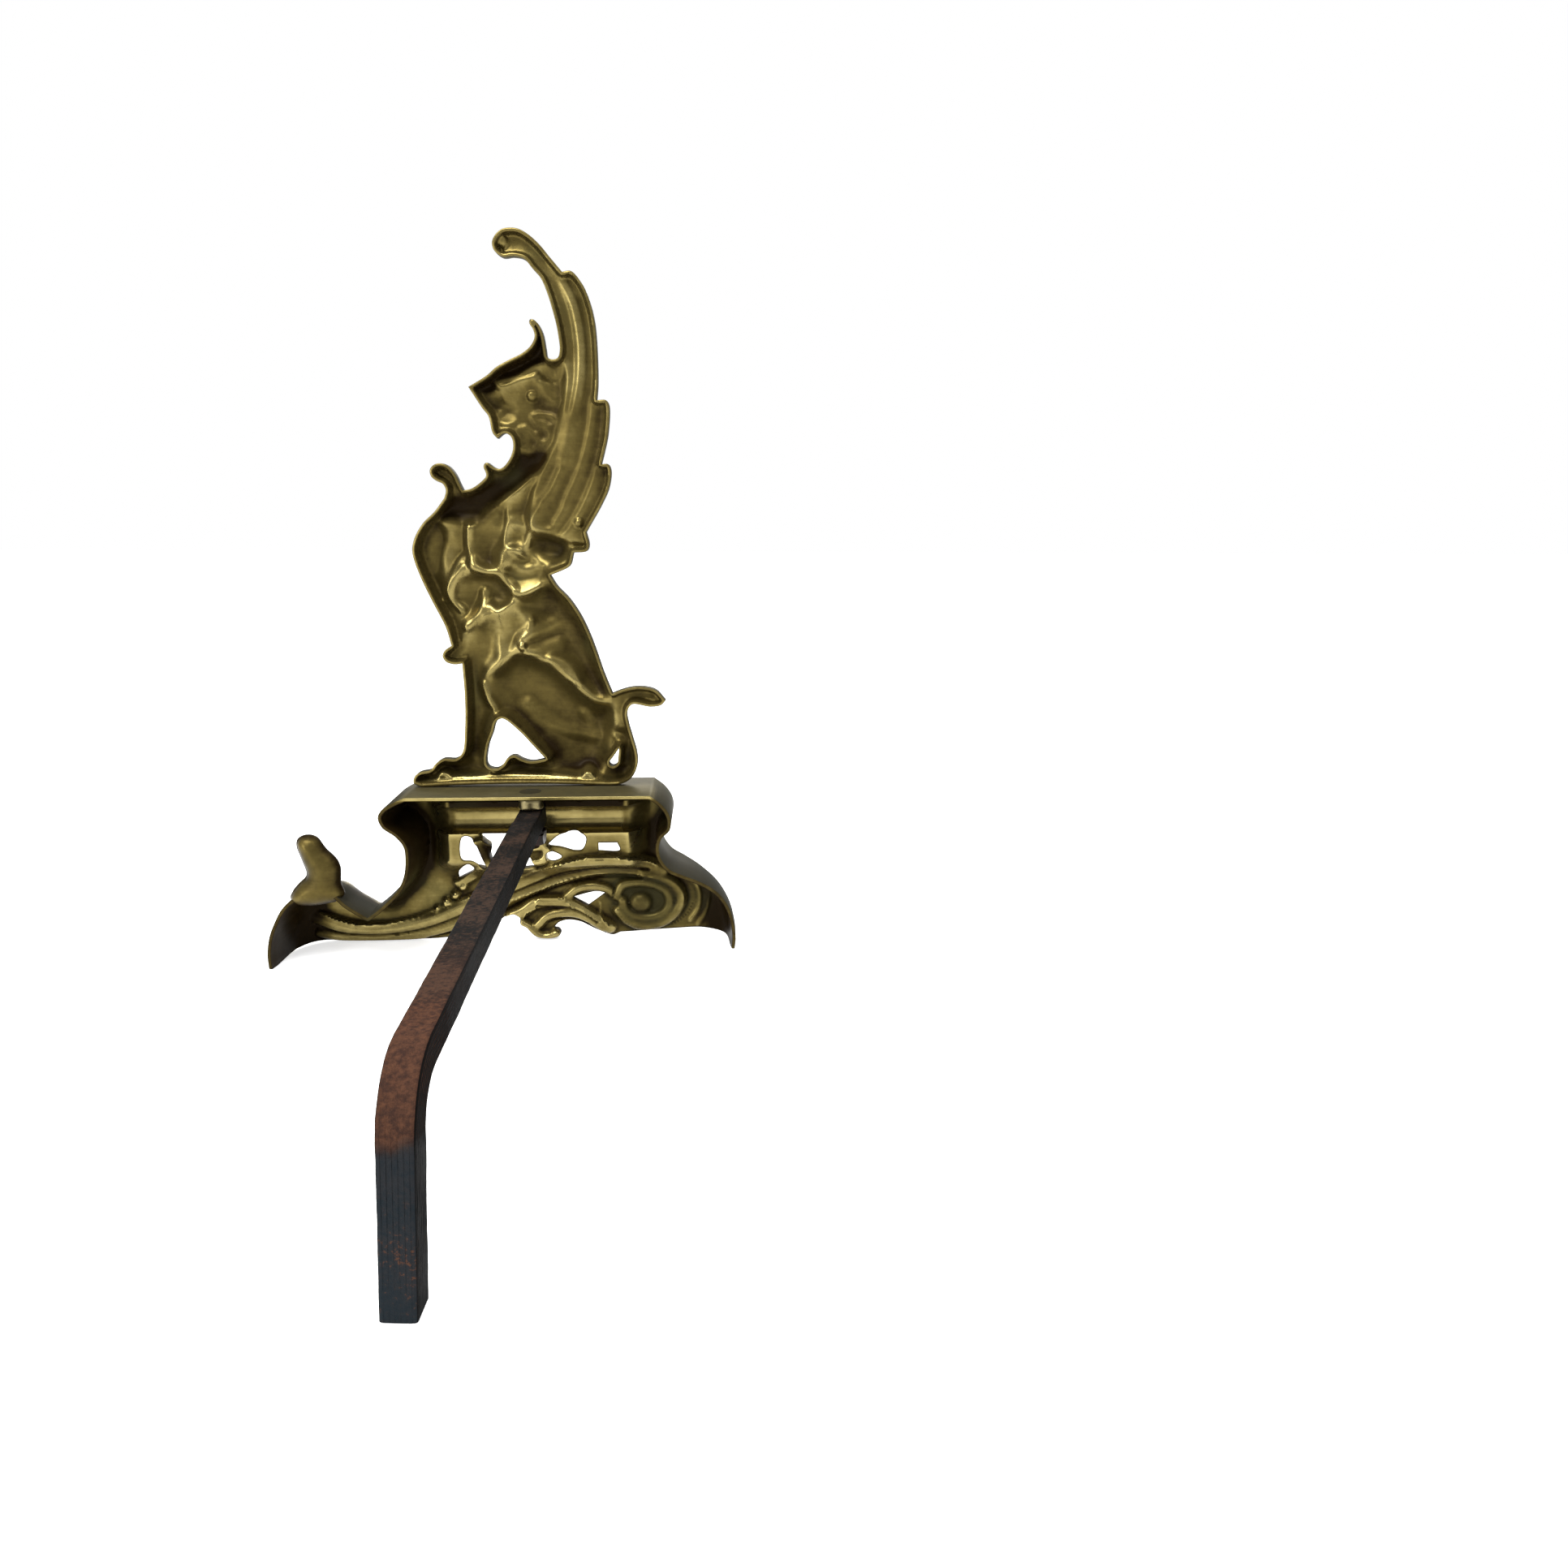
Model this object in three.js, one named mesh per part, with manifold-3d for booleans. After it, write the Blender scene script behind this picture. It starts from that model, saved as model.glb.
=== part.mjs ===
// One andiron of a pair: a hollow-backed brass casting of a seated winged beast on a pierced scroll
// base, with a square wrought-iron billet bar bolted under the shelf of the base.
//
// Millimetres, +Z up. +Y is the show side, which faces the room. The bar runs back to -Y, into the
// fire, and the beast looks to -X. The origin is on the floor, under the middle of the whole.
import * as THREE from "three";
import { ConvexHull } from "three/addons/math/ConvexHull.js";
import { mergeVertices } from "three/addons/utils/BufferGeometryUtils.js";
import Module from "manifold-3d";

const wasm = await Module();
wasm.setup();

// ---------------------------------------------------------------- driving dimensions

const fit = 0.3; // clearance between two pieces that touch
const boreFit = 0.35; // radial clearance of a shank in its hole

const baseWidth = 293; // over the two toes and the right bullnose
const shelfHeight = 110; // floor to the top of the shelf
const baseWall = 2.2; // thickness of the base casting
const stripDepth = 50; // back rim to the front of the base
const panelRecess = 14; // how far the pierced panel lies behind the frame round it
const nosing = { low: 78, high: 95.5, bulge: 11 }; // half-round moulding under the shelf
const toeSetback = 20.5; // how far the right toe's rim lies in front of the back rim
const soleTrim = 0.6; // filed off the toes so that they stand flat

const figureHeight = 324; // plinth to the top of the wing
const figureWall = 2.2; // thickness of the figure casting and width of its rim
const figureRimY = 26; // the figure's back rim, in front of the shelf's rear edge
const figureEdge = 6; // depth of the figure's straight side wall
const figureRound = 7; // width over which the side wall turns into the face

const barSize = 14.5; // square section of the billet bar
const barChamfer = 1.1;
const barTop = 100; // height of the face that logs lie on
const barFrontY = stripDepth - panelRecess - baseWall - 5; // front end, clear of the panel and its scrolls
const barReach = 318.5; // back rim of the base to the rear face of the leg
const barBend = 26; // centre-line radius of the bend
const barX = 18; // bolt axis, to the right of the middle of the base
const barSway = 7; // sideways drift of the bar from the bolt to the bend
const legLean = 5; // sideways lean of the leg from the bend to the foot
const eyeStep = 1; // the bar's front end is hammered down by this
const eyeLength = 44;

const boltY = 14; // bolt axis, in front of the shelf's rear edge
const bolt = { shank: 4, head: 7, headDepth: 2.6, tail: 3.5 };
const collarRadius = 7.7;
const padDepth = 0.8; // cast pads on the shelf's underside, under the bolt and the screws
const padRadius = { bolt: 9.5, screw: 5.2 };
const washer = { radius: 8.6, thickness: 1.6 };
const nut = { flats: 15, thickness: 6.5 };

const screwX = [-38, 52]; // the two screws that hold the figure down
const screwY = figureRimY + 5.2;
const screw = { shank: 2, head: 3.6, headHeight: 2.2, bite: 6.5 };
const lug = { radius: 4.6, height: 9.5 };

// ---------------------------------------------------------------- outlines, [x, z] in the plane

const SHARP = 1; // third number of an outline point at which the line turns a corner

// The figure seen from its hollow back, from the tip of the wing clockwise. Zero is the plinth's foot.
const figureOutline = [
  // wing curl and leading edge
  [10.5, 316], [12, 319.5], [16, 323], [20.5, 324], [25.5, 323.5], [30.5, 321], [36.5, 316],
  [42.5, 309], [49, 301.5, SHARP], [54, 302],
  // first long feather
  [60, 295.5], [63.5, 287.5], [66, 277.5], [67, 266.5], [67, 242], [66, 232.5, SHARP], [71.5, 232.5],
  // second
  [73, 230], [72, 214], [69.5, 203.5], [67.5, 196.5, SHARP], [71.5, 196.5],
  // third, and the tips of the coverts below it
  [73, 193], [71.5, 183], [67, 173.5], [57, 157, SHARP], [58.5, 149.5], [57, 146], [49, 145, SHARP],
  [47, 138], [45, 136], [34.5, 131.5, SHARP],
  // back and rump
  [38.5, 125], [45, 118], [51.5, 108], [56.5, 97], [60.5, 85.5], [64.5, 72.5], [69.5, 59, SHARP],
  // tail, its leaf and its root
  [76, 61.5], [83, 63], [89.5, 63], [96.5, 61], [102.5, 54.5, SHARP], [99.5, 51.5], [93, 50.5],
  [81.5, 52], [78.3, 47], [79, 40], [81.5, 30], [83.5, 22], [84, 15], [82.5, 9], [79, 4], [73, 0.8],
  [66, 0, SHARP],
  // plinth, filed to a slight arch
  [36, 1.2], [4, 1.6], [-30, 1], [-52, 0, SHARP], [-56.5, 2.5], [-55.5, 7], [-52, 9.5],
  // fore paw and fore leg
  [-45.5, 11], [-42, 15], [-37, 18], [-29.5, 18], [-25, 22], [-22.5, 36.5], [-21.2, 58],
  [-21.5, 78, SHARP],
  // curl of hair at the elbow
  [-26, 77.5], [-31, 79], [-33, 82.5], [-31.5, 86], [-27.2, 89, SHARP],
  // chest
  [-30, 100.5], [-36, 114], [-41.5, 127], [-45.5, 139], [-46.5, 146], [-44.5, 153.5], [-39, 162],
  [-32, 168.5], [-25.5, 176.5, SHARP],
  // acanthus curl on the breast
  [-24.3, 181], [-25.8, 184.6], [-29.2, 186.2], [-32.3, 188.8], [-32.8, 192.6], [-30, 195.6],
  [-25.5, 196.2], [-21.5, 194.3], [-18.2, 190], [-16.2, 185.2], [-14.3, 181, SHARP],
  // throat, lower lip and open mouth
  [-9.5, 182], [-3.5, 185.9], [-0.2, 189.6], [-1.5, 194.6], [-0.6, 196.5], [1, 196.8], [4.5, 194.3],
  [7.5, 193.4], [10, 194.4], [14.6, 200.2], [16.5, 206.5], [15.5, 211.5], [12, 213.5],
  [7.5, 210.5, SHARP], [5, 213.5], [3, 223], [0, 227], [-7.5, 239, SHARP],
  // peak of the cap, and its horn with a rounded tip
  [3.5, 245.5], [9, 250], [16.5, 254], [24, 257.6], [29.5, 262], [31.9, 267], [31, 271],
  [29.2, 274], [29.6, 275.9], [31.5, 276], [34.2, 273.6], [36.5, 268.6], [37.8, 260.5],
  [38.7, 255.6], [41.5, 254.6], [44.6, 255.6],
  // inner edge of the wing
  [45.9, 260], [45.4, 267.5], [44.4, 274], [42.6, 281.5], [40.5, 289], [37, 297.7], [32, 303.5],
  [28, 308], [22, 309.3], [16, 308.8], [11.5, 312],
];

const legOpening = [
  [-3, 41.5], [1, 43.5], [11, 35.5], [18, 27.5], [26.5, 17.5, SHARP], [17.5, 16], [12, 17.5],
  [7, 20], [3, 18.5], [-1, 13.5], [-5, 11.5], [-10, 13.5], [-9, 25.5], [-5.5, 34.5],
];
const tailOpening = [[72.5, 24, SHARP], [72, 19], [71, 14], [68, 12.5], [66, 14.5], [69, 19]];

// Forms of the figure: the line that each follows, its half width and its depth from the back rim.
const figureForms = [
  { line: [[16, 316.5], [28.5, 317], [38.5, 309.5], [45, 300], [50, 288], [53.2, 270], [52.5, 240],
    [47, 205]], half: 6, depth: 13 },
  { line: [[57, 293], [62, 282], [63.5, 260], [62, 240], [57, 220], [48, 196], [34, 173]], half: 6.5,
    depth: 14 },
  { line: [[70, 229], [68, 218], [62, 198], [55, 184], [46, 168]], half: 5.5, depth: 15 },
  { line: [[71, 193], [67, 181], [57, 163]], half: 5.5, depth: 14 },
  { line: [[47, 228], [41, 210], [33, 193], [19, 173]], half: 6.5, depth: 16 },
  { line: [[27, 222], [21, 206], [13, 194], [2, 184], [-12, 175], [-25, 167], [-34, 157]], half: 10,
    depth: 18 },
  { line: [[16, 229], [28, 234], [39, 240]], half: 14, depth: 17 },
  { line: [[-2, 240.5], [12, 248], [27, 256], [33, 266]], half: 6, depth: 12 },
  { line: [[-35, 152], [-36.5, 139], [-33, 124], [-27, 108], [-25, 92]], half: 10, depth: 19 },
  { line: [[-14, 152], [-15, 132], [-17, 110]], half: 11, depth: 22 },
  { line: [[0, 170], [-3, 148], [8, 128]], half: 8, depth: 20 },
  { line: [[19, 165], [13, 146], [24, 132]], half: 8, depth: 21 },
  { line: [[52, 153], [38, 150], [28, 143]], half: 7, depth: 16 },
  { line: [[-2, 110], [-6, 92], [-9, 75], [-13, 58], [-17, 40], [-19, 25]], half: 8.5, depth: 19 },
  { line: [[-19, 19], [-28, 12], [-46, 6]], half: 7, depth: 16 },
  { line: [[10, 108], [5, 94], [1, 80]], half: 5.5, depth: 13 },
  { line: [[26, 120], [38, 104], [50, 86], [60, 66]], half: 16, depth: 25 },
  { line: [[8, 76], [24, 62], [40, 48], [54, 34], [60, 18]], half: 15, depth: 23 },
  { line: [[8, 12], [34, 9], [66, 7]], half: 6, depth: 16 },
  { line: [[76, 50], [80, 30], [80.5, 15], [74, 5]], half: 4, depth: 10 },
  { line: [[76, 56], [86, 58.5], [98, 56]], half: 5, depth: 9 },
  { line: [[-27, 191], [-21, 187], [-19, 178]], half: 5, depth: 12 },
];

// The walled upper profile of the base, from the left toe to the right one. The third number is the
// depth to which its wall runs straight forward.
const baseProfile = [
  [-147.5, 0, 10], [-147.5, 10, 11], [-145, 22, 12], [-141, 31, 13], [-136, 39.5, 14], [-129, 46, 15],
  [-117, 50, 15], [-104, 49.5, 16], [-96, 42, 18], [-84, 33.5, 20],
  [-76.5, 39, 26], [-69, 46, 34], [-63, 53, 42], [-59.5, 61, 45], [-58, 71, 46], [-58.5, 79, 46],
  [-63, 85.5, 47], [-70.5, 91.5, 47], [-72.5, 98, 47], [-69.5, 103, 47], [-63, 107, 48], [-56, 110, 48],
  [93, 110, 48], [99, 105.5, 48], [103.5, 100, 47], [105.5, 93.5, 47], [104.5, 87.5, 47], [99.5, 82.5, 46],
  [97.7, 76, 46], [99, 69.5, 46], [104, 62.5, 46], [112, 57.5, 46], [123.5, 50, 44], [134.5, 40, 40],
  [141.5, 28.5, 36], [144.5, 18, 33], [145.5, 8, 32], [144.7, 0, 32],
];
const profileCorners = [9, 21, 22]; // the notch and the two ends of the shelf

// Its free lower edge, from the right toe back to the left one.
const baseLowerEdge = [
  [144.7, 0, SHARP], [139, 2.5], [131, 5], [122, 6.5], [103.5, 6], [78, 4.5], [68, 4, SHARP],
  [63, 2.2], [58, 3.5], [50.5, 7], [41, 12], [33, 13.2], [27, 11.5], [24, 8.5, SHARP], [28.3, 5],
  [26.5, 2], [20, 1.2], [13, 2.2], [9, 5], [6, 9], [2, 11.5], [1.5, 16], [-2, 18.5], [-7, 17],
  [-18, 10], [-33, 4.5], [-52, 1.8], [-81, 1.2], [-117, 1.4], [-136, 1.6], [-147.5, 0, SHARP],
];

const baseOpenings = [
  [[-30, 75.5], [-25.5, 76], [-22, 72], [-19.5, 65.5], [-15.5, 56.5], [-18, 53, SHARP], [-24, 59.5],
    [-31, 61]],
  [[-17, 78, SHARP], [9, 78, SHARP], [13.5, 72.5], [12, 69], [3.5, 66], [-5, 60.5], [-9, 58.5],
    [-12.5, 63], [-11.5, 70], [-16, 74]],
  [[-27.5, 57], [-25, 53], [-29, 48.5], [-37.5, 43.5, SHARP], [-35.5, 50]],
  [[12, 62.5, SHARP], [15, 56], [10.5, 53.3], [1, 53.5], [5, 58.5]],
  [[24, 70], [33, 77], [45, 78], [49, 74.5], [46.5, 67], [42, 66.3], [32.5, 69]],
  [[57, 71, SHARP], [69, 71, SHARP], [70.5, 66], [57, 66, SHARP]],
  [[23.5, 64.5], [27, 65.5], [33, 62], [28.5, 59.5], [23.5, 60, SHARP]],
  [[37.5, 29.5, SHARP], [52.5, 33], [58.5, 32, SHARP], [47, 23.5, SHARP]],
  [[-12.5, 39.5, SHARP], [-8, 43.8], [4.5, 47.3, SHARP], [1, 43]],
];

// Raised forms on the base's front, hollow behind: line, half width, height.
const baseForms = [
  { line: [[-134, 22], [-122, 14.5], [-104, 9.5], [-85, 8.5], [-62, 12.5], [-38, 22], [-16, 32],
    [10, 44.5], [30, 53.5], [49, 58], [67, 58.5], [84, 55], [96, 46]], half: 6, height: 5 },
  { line: [[-70, 5], [-46, 9], [-22, 19], [4, 35], [24, 44], [46, 49.5], [68, 49], [88, 44]], half: 4.5,
    height: 3.5 },
  { line: [[66, 30], [70, 38], [83, 40.5], [97, 35.5], [101.5, 26], [97, 17.5], [86, 14.5],
    [75, 18.5], [73, 27]], half: 4, height: 5 },
  { line: [[82, 46], [98, 43], [109, 34], [110, 23], [103, 13], [91, 9.5], [78, 10.5], [66, 19]],
    half: 4, height: 4 },
  { line: [[82, 25], [83.5, 25]], half: 7, height: 6 },
  { line: [[-4, 17], [11, 25.5], [21, 26], [33, 24], [46, 17], [58, 9.5]], half: 4.5, height: 4 },
  { line: [[4, 14], [10, 8], [15, 3], [22, 2.5], [26, 5]], half: 4, height: 4 },
  { line: [[116, 42], [120, 29], [117, 13]], half: 4, height: 3 },
  { line: [[-45, 29], [-42, 31]], half: 4, height: 4 },
  { line: [[-36, 37.5], [-33, 39]], half: 4, height: 4 },
];

const leafFinial = [
  [-131, 46], [-128.5, 51.5], [-124.5, 56], [-119.8, 61], [-121.5, 70], [-124, 80], [-122.5, 84.5],
  [-117.5, 86.5], [-111.5, 85], [-107, 78], [-101, 71], [-99, 65.5], [-99.5, 55], [-98, 48],
  [-104, 43, SHARP], [-118, 41], [-128, 42],
];
const leafThickness = { front: 13, back: 5 }; // from the back rim, to the front and to the back

// ---------------------------------------------------------------- lines in the plane

const sub = (a, b) => [a[0] - b[0], a[1] - b[1]];
const length = (a) => Math.hypot(a[0], a[1]);
const mix = (a, b, t) => a + (b - a) * t;
const clamp01 = (t) => Math.min(1, Math.max(0, t));
const smooth = (t) => clamp01(t) * clamp01(t) * (3 - 2 * clamp01(t));

// Samples an open run of points with a smooth curve. A third number rides along the curve.
function sampleRun(points, step) {
  const curve = new THREE.CatmullRomCurve3(
    points.map((p) => new THREE.Vector3(p[0], p[1], p[2] ?? 0)),
    false,
    "centripetal",
  );
  const count = Math.max(1, Math.round(curve.getLength() / step));
  return curve.getSpacedPoints(count).map((v) => [v.x, v.y, v.z]);
}

// Samples a closed outline, smooth between its sharp points. One without any starts at its first.
function sampleClosed(points, step) {
  const start = points.findIndex((p) => p[2] === SHARP);
  const at = Math.max(0, start);
  const turned = [...points.slice(at), ...points.slice(0, at), points[at]];
  const plain = turned.map((p) => [p[0], p[1]]);
  const cuts = turned.map((p, i) => (p[2] === SHARP ? i : -1)).filter((i) => i > 0 && i < plain.length - 1);
  const ends = [0, ...cuts, plain.length - 1];
  return ends.slice(1).flatMap((end, i) => {
    return sampleRun(plain.slice(ends[i], end + 1), step).slice(0, -1);
  });
}

// Distance from a point to a sampled line, with the third number at the nearest place.
function nearest(p, line, closed) {
  let best = { d: Infinity, value: 0 };
  for (let i = 0; i < line.length - (closed ? 0 : 1); i++) {
    const a = line[i];
    const b = line[(i + 1) % line.length];
    const ab = sub(b, a);
    const t = clamp01(((p[0] - a[0]) * ab[0] + (p[1] - a[1]) * ab[1]) / (ab[0] ** 2 + ab[1] ** 2 || 1));
    const d = Math.hypot(p[0] - a[0] - t * ab[0], p[1] - a[1] - t * ab[1]);
    if (d < best.d) best = { d, value: mix(a[2] ?? 0, b[2] ?? 0, t) };
  }
  return best;
}

function area(loop) {
  return loop.reduce((sum, p, i) => {
    const q = loop[(i + 1) % loop.length];
    return sum + (p[0] * q[1] - q[0] * p[1]) / 2;
  }, 0);
}

const wound = (loop, sign) => (Math.sign(area(loop)) === sign ? loop : [...loop].reverse());

function inside(p, loops) {
  let odd = false;
  for (const loop of loops) {
    loop.forEach((a, i) => {
      const b = loop[(i + 1) % loop.length];
      if (a[1] > p[1] === b[1] > p[1]) return;
      if (p[0] < a[0] + ((p[1] - a[1]) * (b[0] - a[0])) / (b[1] - a[1])) odd = !odd;
    });
  }
  return odd;
}

// ---------------------------------------------------------------- triangles in the plane

// Delaunay triangles are the lower faces of the hull of the points lifted onto a paraboloid.
function delaunay(points) {
  const lifted = points.map(([x, z]) => new THREE.Vector3(x, z, (x * x + z * z) / 100));
  const index = new Map(lifted.map((v, i) => [v, i]));
  return new ConvexHull()
    .setFromPoints(lifted)
    .faces.filter((face) => face.normal.z < -1e-9)
    .map((face) => {
      const tri = [0, 1, 2].map((i) => index.get(face.getEdge(i).head().point));
      const [a, b, c] = tri.map((i) => points[i]);
      return area([a, b, c]) > 0 ? tri : [tri[0], tri[2], tri[1]];
    });
}

// Triangles of the region within the loops. A loop's edge that they lack is split in two.
function fillLoops(loops, inner) {
  const points = [...loops.flat(), ...inner];
  const tris = delaunay(points).filter((tri) => {
    const [a, b, c] = tri.map((i) => points[i]);
    return inside([(a[0] + b[0] + c[0]) / 3, (a[1] + b[1] + c[1]) / 3], loops);
  });
  const edges = new Set(tris.flatMap(([a, b, c]) => [`${a},${b}`, `${b},${c}`, `${c},${a}`]));
  let start = 0;
  let split = false;
  const refined = loops.map((loop) => {
    const first = start;
    start += loop.length;
    return loop.flatMap((p, i) => {
      const next = (i + 1) % loop.length;
      if (edges.has(`${first + i},${first + next}`)) return [p];
      split = true;
      const q = loop[next];
      return [p, [(p[0] + q[0]) / 2, (p[1] + q[1]) / 2, mix(p[2] ?? 0, q[2] ?? 0, 0.5)]];
    });
  });
  return { points, tris, loops: refined, split };
}

// Points of a triangular grid that keep clear of the loops and of the points already placed.
function gridPoints(loops, pitch, placed) {
  const all = loops.flat();
  const xs = all.map((p) => p[0]);
  const zs = all.map((p) => p[1]);
  const low = [Math.min(...xs), Math.min(...zs)];
  const found = [];
  for (let row = 0; low[1] + row * pitch * 0.866 < Math.max(...zs); row++) {
    for (let col = 0; low[0] + col * pitch < Math.max(...xs); col++) {
      const p = [low[0] + (col + (row % 2) / 2) * pitch, low[1] + row * pitch * 0.866];
      if (!inside(p, loops)) continue;
      if (loops.some((loop) => nearest(p, loop, true).d < pitch * 0.5)) continue;
      if (placed.some((q) => length(sub(p, q)) < pitch * 0.6)) continue;
      found.push(p);
    }
  }
  return found;
}

// Points along the crests of the forms, apart from each other and from the loops.
function crestPoints(forms, loops, step, margin) {
  const found = [];
  for (const form of forms) {
    for (const p of sampleRun(form.line, step)) {
      if (!inside(p, loops) || loops.some((loop) => nearest(p, loop, true).d < margin)) continue;
      if (found.some((q) => length(sub(p, q)) < step * 0.6)) continue;
      found.push([p[0], p[1]]);
    }
  }
  return found;
}

// Points at one distance inside a wall line, left out where the casting is too narrow for them.
function ringPoints(line, closed, distance, isInside) {
  return line.flatMap((p, i) => {
    const a = line[closed ? (i + line.length - 1) % line.length : Math.max(0, i - 1)];
    const b = line[closed ? (i + 1) % line.length : Math.min(line.length - 1, i + 1)];
    const t = sub(b, a);
    const q = [p[0] - (t[1] / length(t)) * distance, p[1] + (t[0] / length(t)) * distance];
    return isInside(q) && nearest(q, line, closed).d > distance * 0.97 ? [q] : [];
  });
}

// ---------------------------------------------------------------- solids

function geometryOf(positions, indices) {
  const geometry = new THREE.BufferGeometry();
  geometry.setAttribute("position", new THREE.BufferAttribute(new Float32Array(positions.flat()), 3));
  geometry.setIndex(indices.flat());
  return geometry;
}

function solidOf(geometry) {
  const bare = geometry.clone();
  bare.deleteAttribute("normal");
  bare.deleteAttribute("uv");
  const merged = mergeVertices(bare, 1e-4);
  const triVerts = new Uint32Array(merged.index.array);
  return new wasm.Manifold(
    new wasm.Mesh({ numProp: 3, vertProperties: merged.attributes.position.array, triVerts }),
  );
}

function geometryOfSolid(solid) {
  const mesh = solid.getMesh();
  const geometry = new THREE.BufferGeometry();
  geometry.setAttribute("position", new THREE.BufferAttribute(mesh.vertProperties, 3));
  geometry.setIndex(new THREE.BufferAttribute(mesh.triVerts, 1));
  return geometry;
}

// A casting made as one thick sheet over the plane: a front and a back surface over the same
// outline, joined along every edge. front and back give the depth, towards +Y, at a point.
function castSheet({ loops, front, back, frontPoints, backPoints }) {
  let edges = [wound(loops[0], 1), ...loops.slice(1).map((loop) => wound(loop, -1))];
  let faces = [];
  for (let pass = 0; pass < 8; pass++) {
    faces = [frontPoints, backPoints].map((inner) => fillLoops(edges, inner));
    if (!faces.some((face) => face.split)) break;
    edges = faces[0].split ? faces[0].loops : faces[1].loops;
  }
  const [frontFace, backFace] = faces;
  const positions = [
    ...frontFace.points.map((p) => [p[0], front(p), p[1]]),
    ...backFace.points.map((p) => [p[0], back(p), p[1]]),
  ];
  const shift = frontFace.points.length;
  const indices = [
    ...frontFace.tris.map(([a, b, c]) => [a, c, b]),
    ...backFace.tris.map(([a, b, c]) => [a + shift, b + shift, c + shift]),
  ];
  let first = 0;
  for (const loop of edges) {
    for (let i = 0; i < loop.length; i++) {
      const a = first + i;
      const b = first + ((i + 1) % loop.length);
      indices.push([a, b, a + shift], [b, b + shift, a + shift]);
    }
    first += loop.length;
  }
  return geometryOf(positions, indices);
}

// A turned solid about the Z axis, from [radius, z] points that close on the axis or on themselves.
function turned(profile, sides, x, y) {
  const points = profile.map(([r, z]) => new THREE.Vector2(r, z));
  const geometry = new THREE.LatheGeometry(points, sides);
  geometry.rotateX(Math.PI / 2);
  geometry.translate(x, y, 0);
  return geometry;
}

const rod = (radius, low, high, x, y, sides = 24) =>
  turned([[0, low], [radius, low], [radius, high], [0, high]], sides, x, y);

// How far a wall that runs straight to depth edge has turned towards depth full, d in from its edge.
function turnIn(d, edge, full, width) {
  const t = clamp01(d / width);
  return edge + (full - edge) * Math.sqrt(1 - (1 - t) ** 2);
}

// ---------------------------------------------------------------- the figure

const figureStep = 3.8;
const figurePitch = 6.8;
const rimStep = 0.7; // run over which the inner side of a rim drops

const figureLines = figureForms.map((form) => ({ ...form, run: sampleRun(form.line, 6) }));
const figureFloor = 9; // depth between the forms

function figureDepth(p) {
  return figureLines.reduce((deepest, { run, half, depth }) => {
    const t = nearest(p, run, false).d / half;
    if (t >= 1) return deepest;
    return Math.max(deepest, figureFloor + (depth - figureFloor) * (1 - t * t) ** 0.6);
  }, figureFloor);
}

function makeFigure() {
  const loops = [
    sampleClosed(figureOutline, figureStep),
    sampleClosed(legOpening, figureStep),
    sampleClosed(tailOpening, figureStep * 0.7),
  ];
  const toRim = (p) => Math.min(...loops.map((loop) => nearest(p, loop, true).d));
  const front = (p) => turnIn(toRim(p), figureEdge, figureDepth(p), figureRound);
  const back = (p) => {
    const d = toRim(p) - figureWall;
    if (d <= 0.05) return 0;
    const floor = turnIn(d, figureEdge, figureDepth(p), figureRound) - figureWall;
    return floor * smooth(d / rimStep);
  };
  const crest = crestPoints(figureForms, loops, 6, 3.2);
  const within = (q) => inside(q, loops);
  const rings = [wound(loops[0], 1), ...loops.slice(1).map((loop) => wound(loop, -1))];
  const rimRings = [figureWall, figureWall + rimStep].flatMap((distance) =>
    rings.flatMap((loop) => ringPoints(loop, true, distance, within).filter((q) => toRim(q) > distance * 0.97)),
  );
  const deep = crest.filter((p) => toRim(p) > figureWall + rimStep + 1.5);
  const sheet = castSheet({
    loops,
    front,
    back,
    frontPoints: [...crest, ...gridPoints(loops, figurePitch, crest)],
    backPoints: [
      ...rimRings,
      ...deep,
      ...gridPoints(loops, figurePitch, [...deep, ...rimRings]).filter((p) => toRim(p) > figureWall + 2),
    ],
  });
  sheet.scale(1, 1, figureHeight / Math.max(...figureOutline.map((p) => p[1])));
  sheet.translate(0, figureRimY, shelfHeight + fit);
  let solid = solidOf(sheet);
  for (const x of screwX) {
    const low = shelfHeight + fit + 1.7;
    solid = solid.add(solidOf(rod(lug.radius, low, shelfHeight + fit + lug.height, x, screwY, 16)));
  }
  for (const x of screwX) {
    const depth = screw.bite + fit;
    solid = solid.subtract(
      solidOf(rod(screw.shank + boreFit, shelfHeight - 1, shelfHeight + depth + 1, x, screwY, 16)),
    );
  }
  return geometryOfSolid(solid);
}

// ---------------------------------------------------------------- the base

const baseStep = 5;
const basePitch = 7.6;
const widest = Math.max(...baseProfile.map((p) => p[0])) - Math.min(...baseProfile.map((p) => p[0]));
const shelfRise = Math.max(...baseProfile.map((p) => p[1]));
const panel = { left: -38, right: 75, low: 60, ramp: 16 };
const baseLines = baseForms.map((form) => ({ ...form, run: sampleRun(form.line, 5) }));

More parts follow.
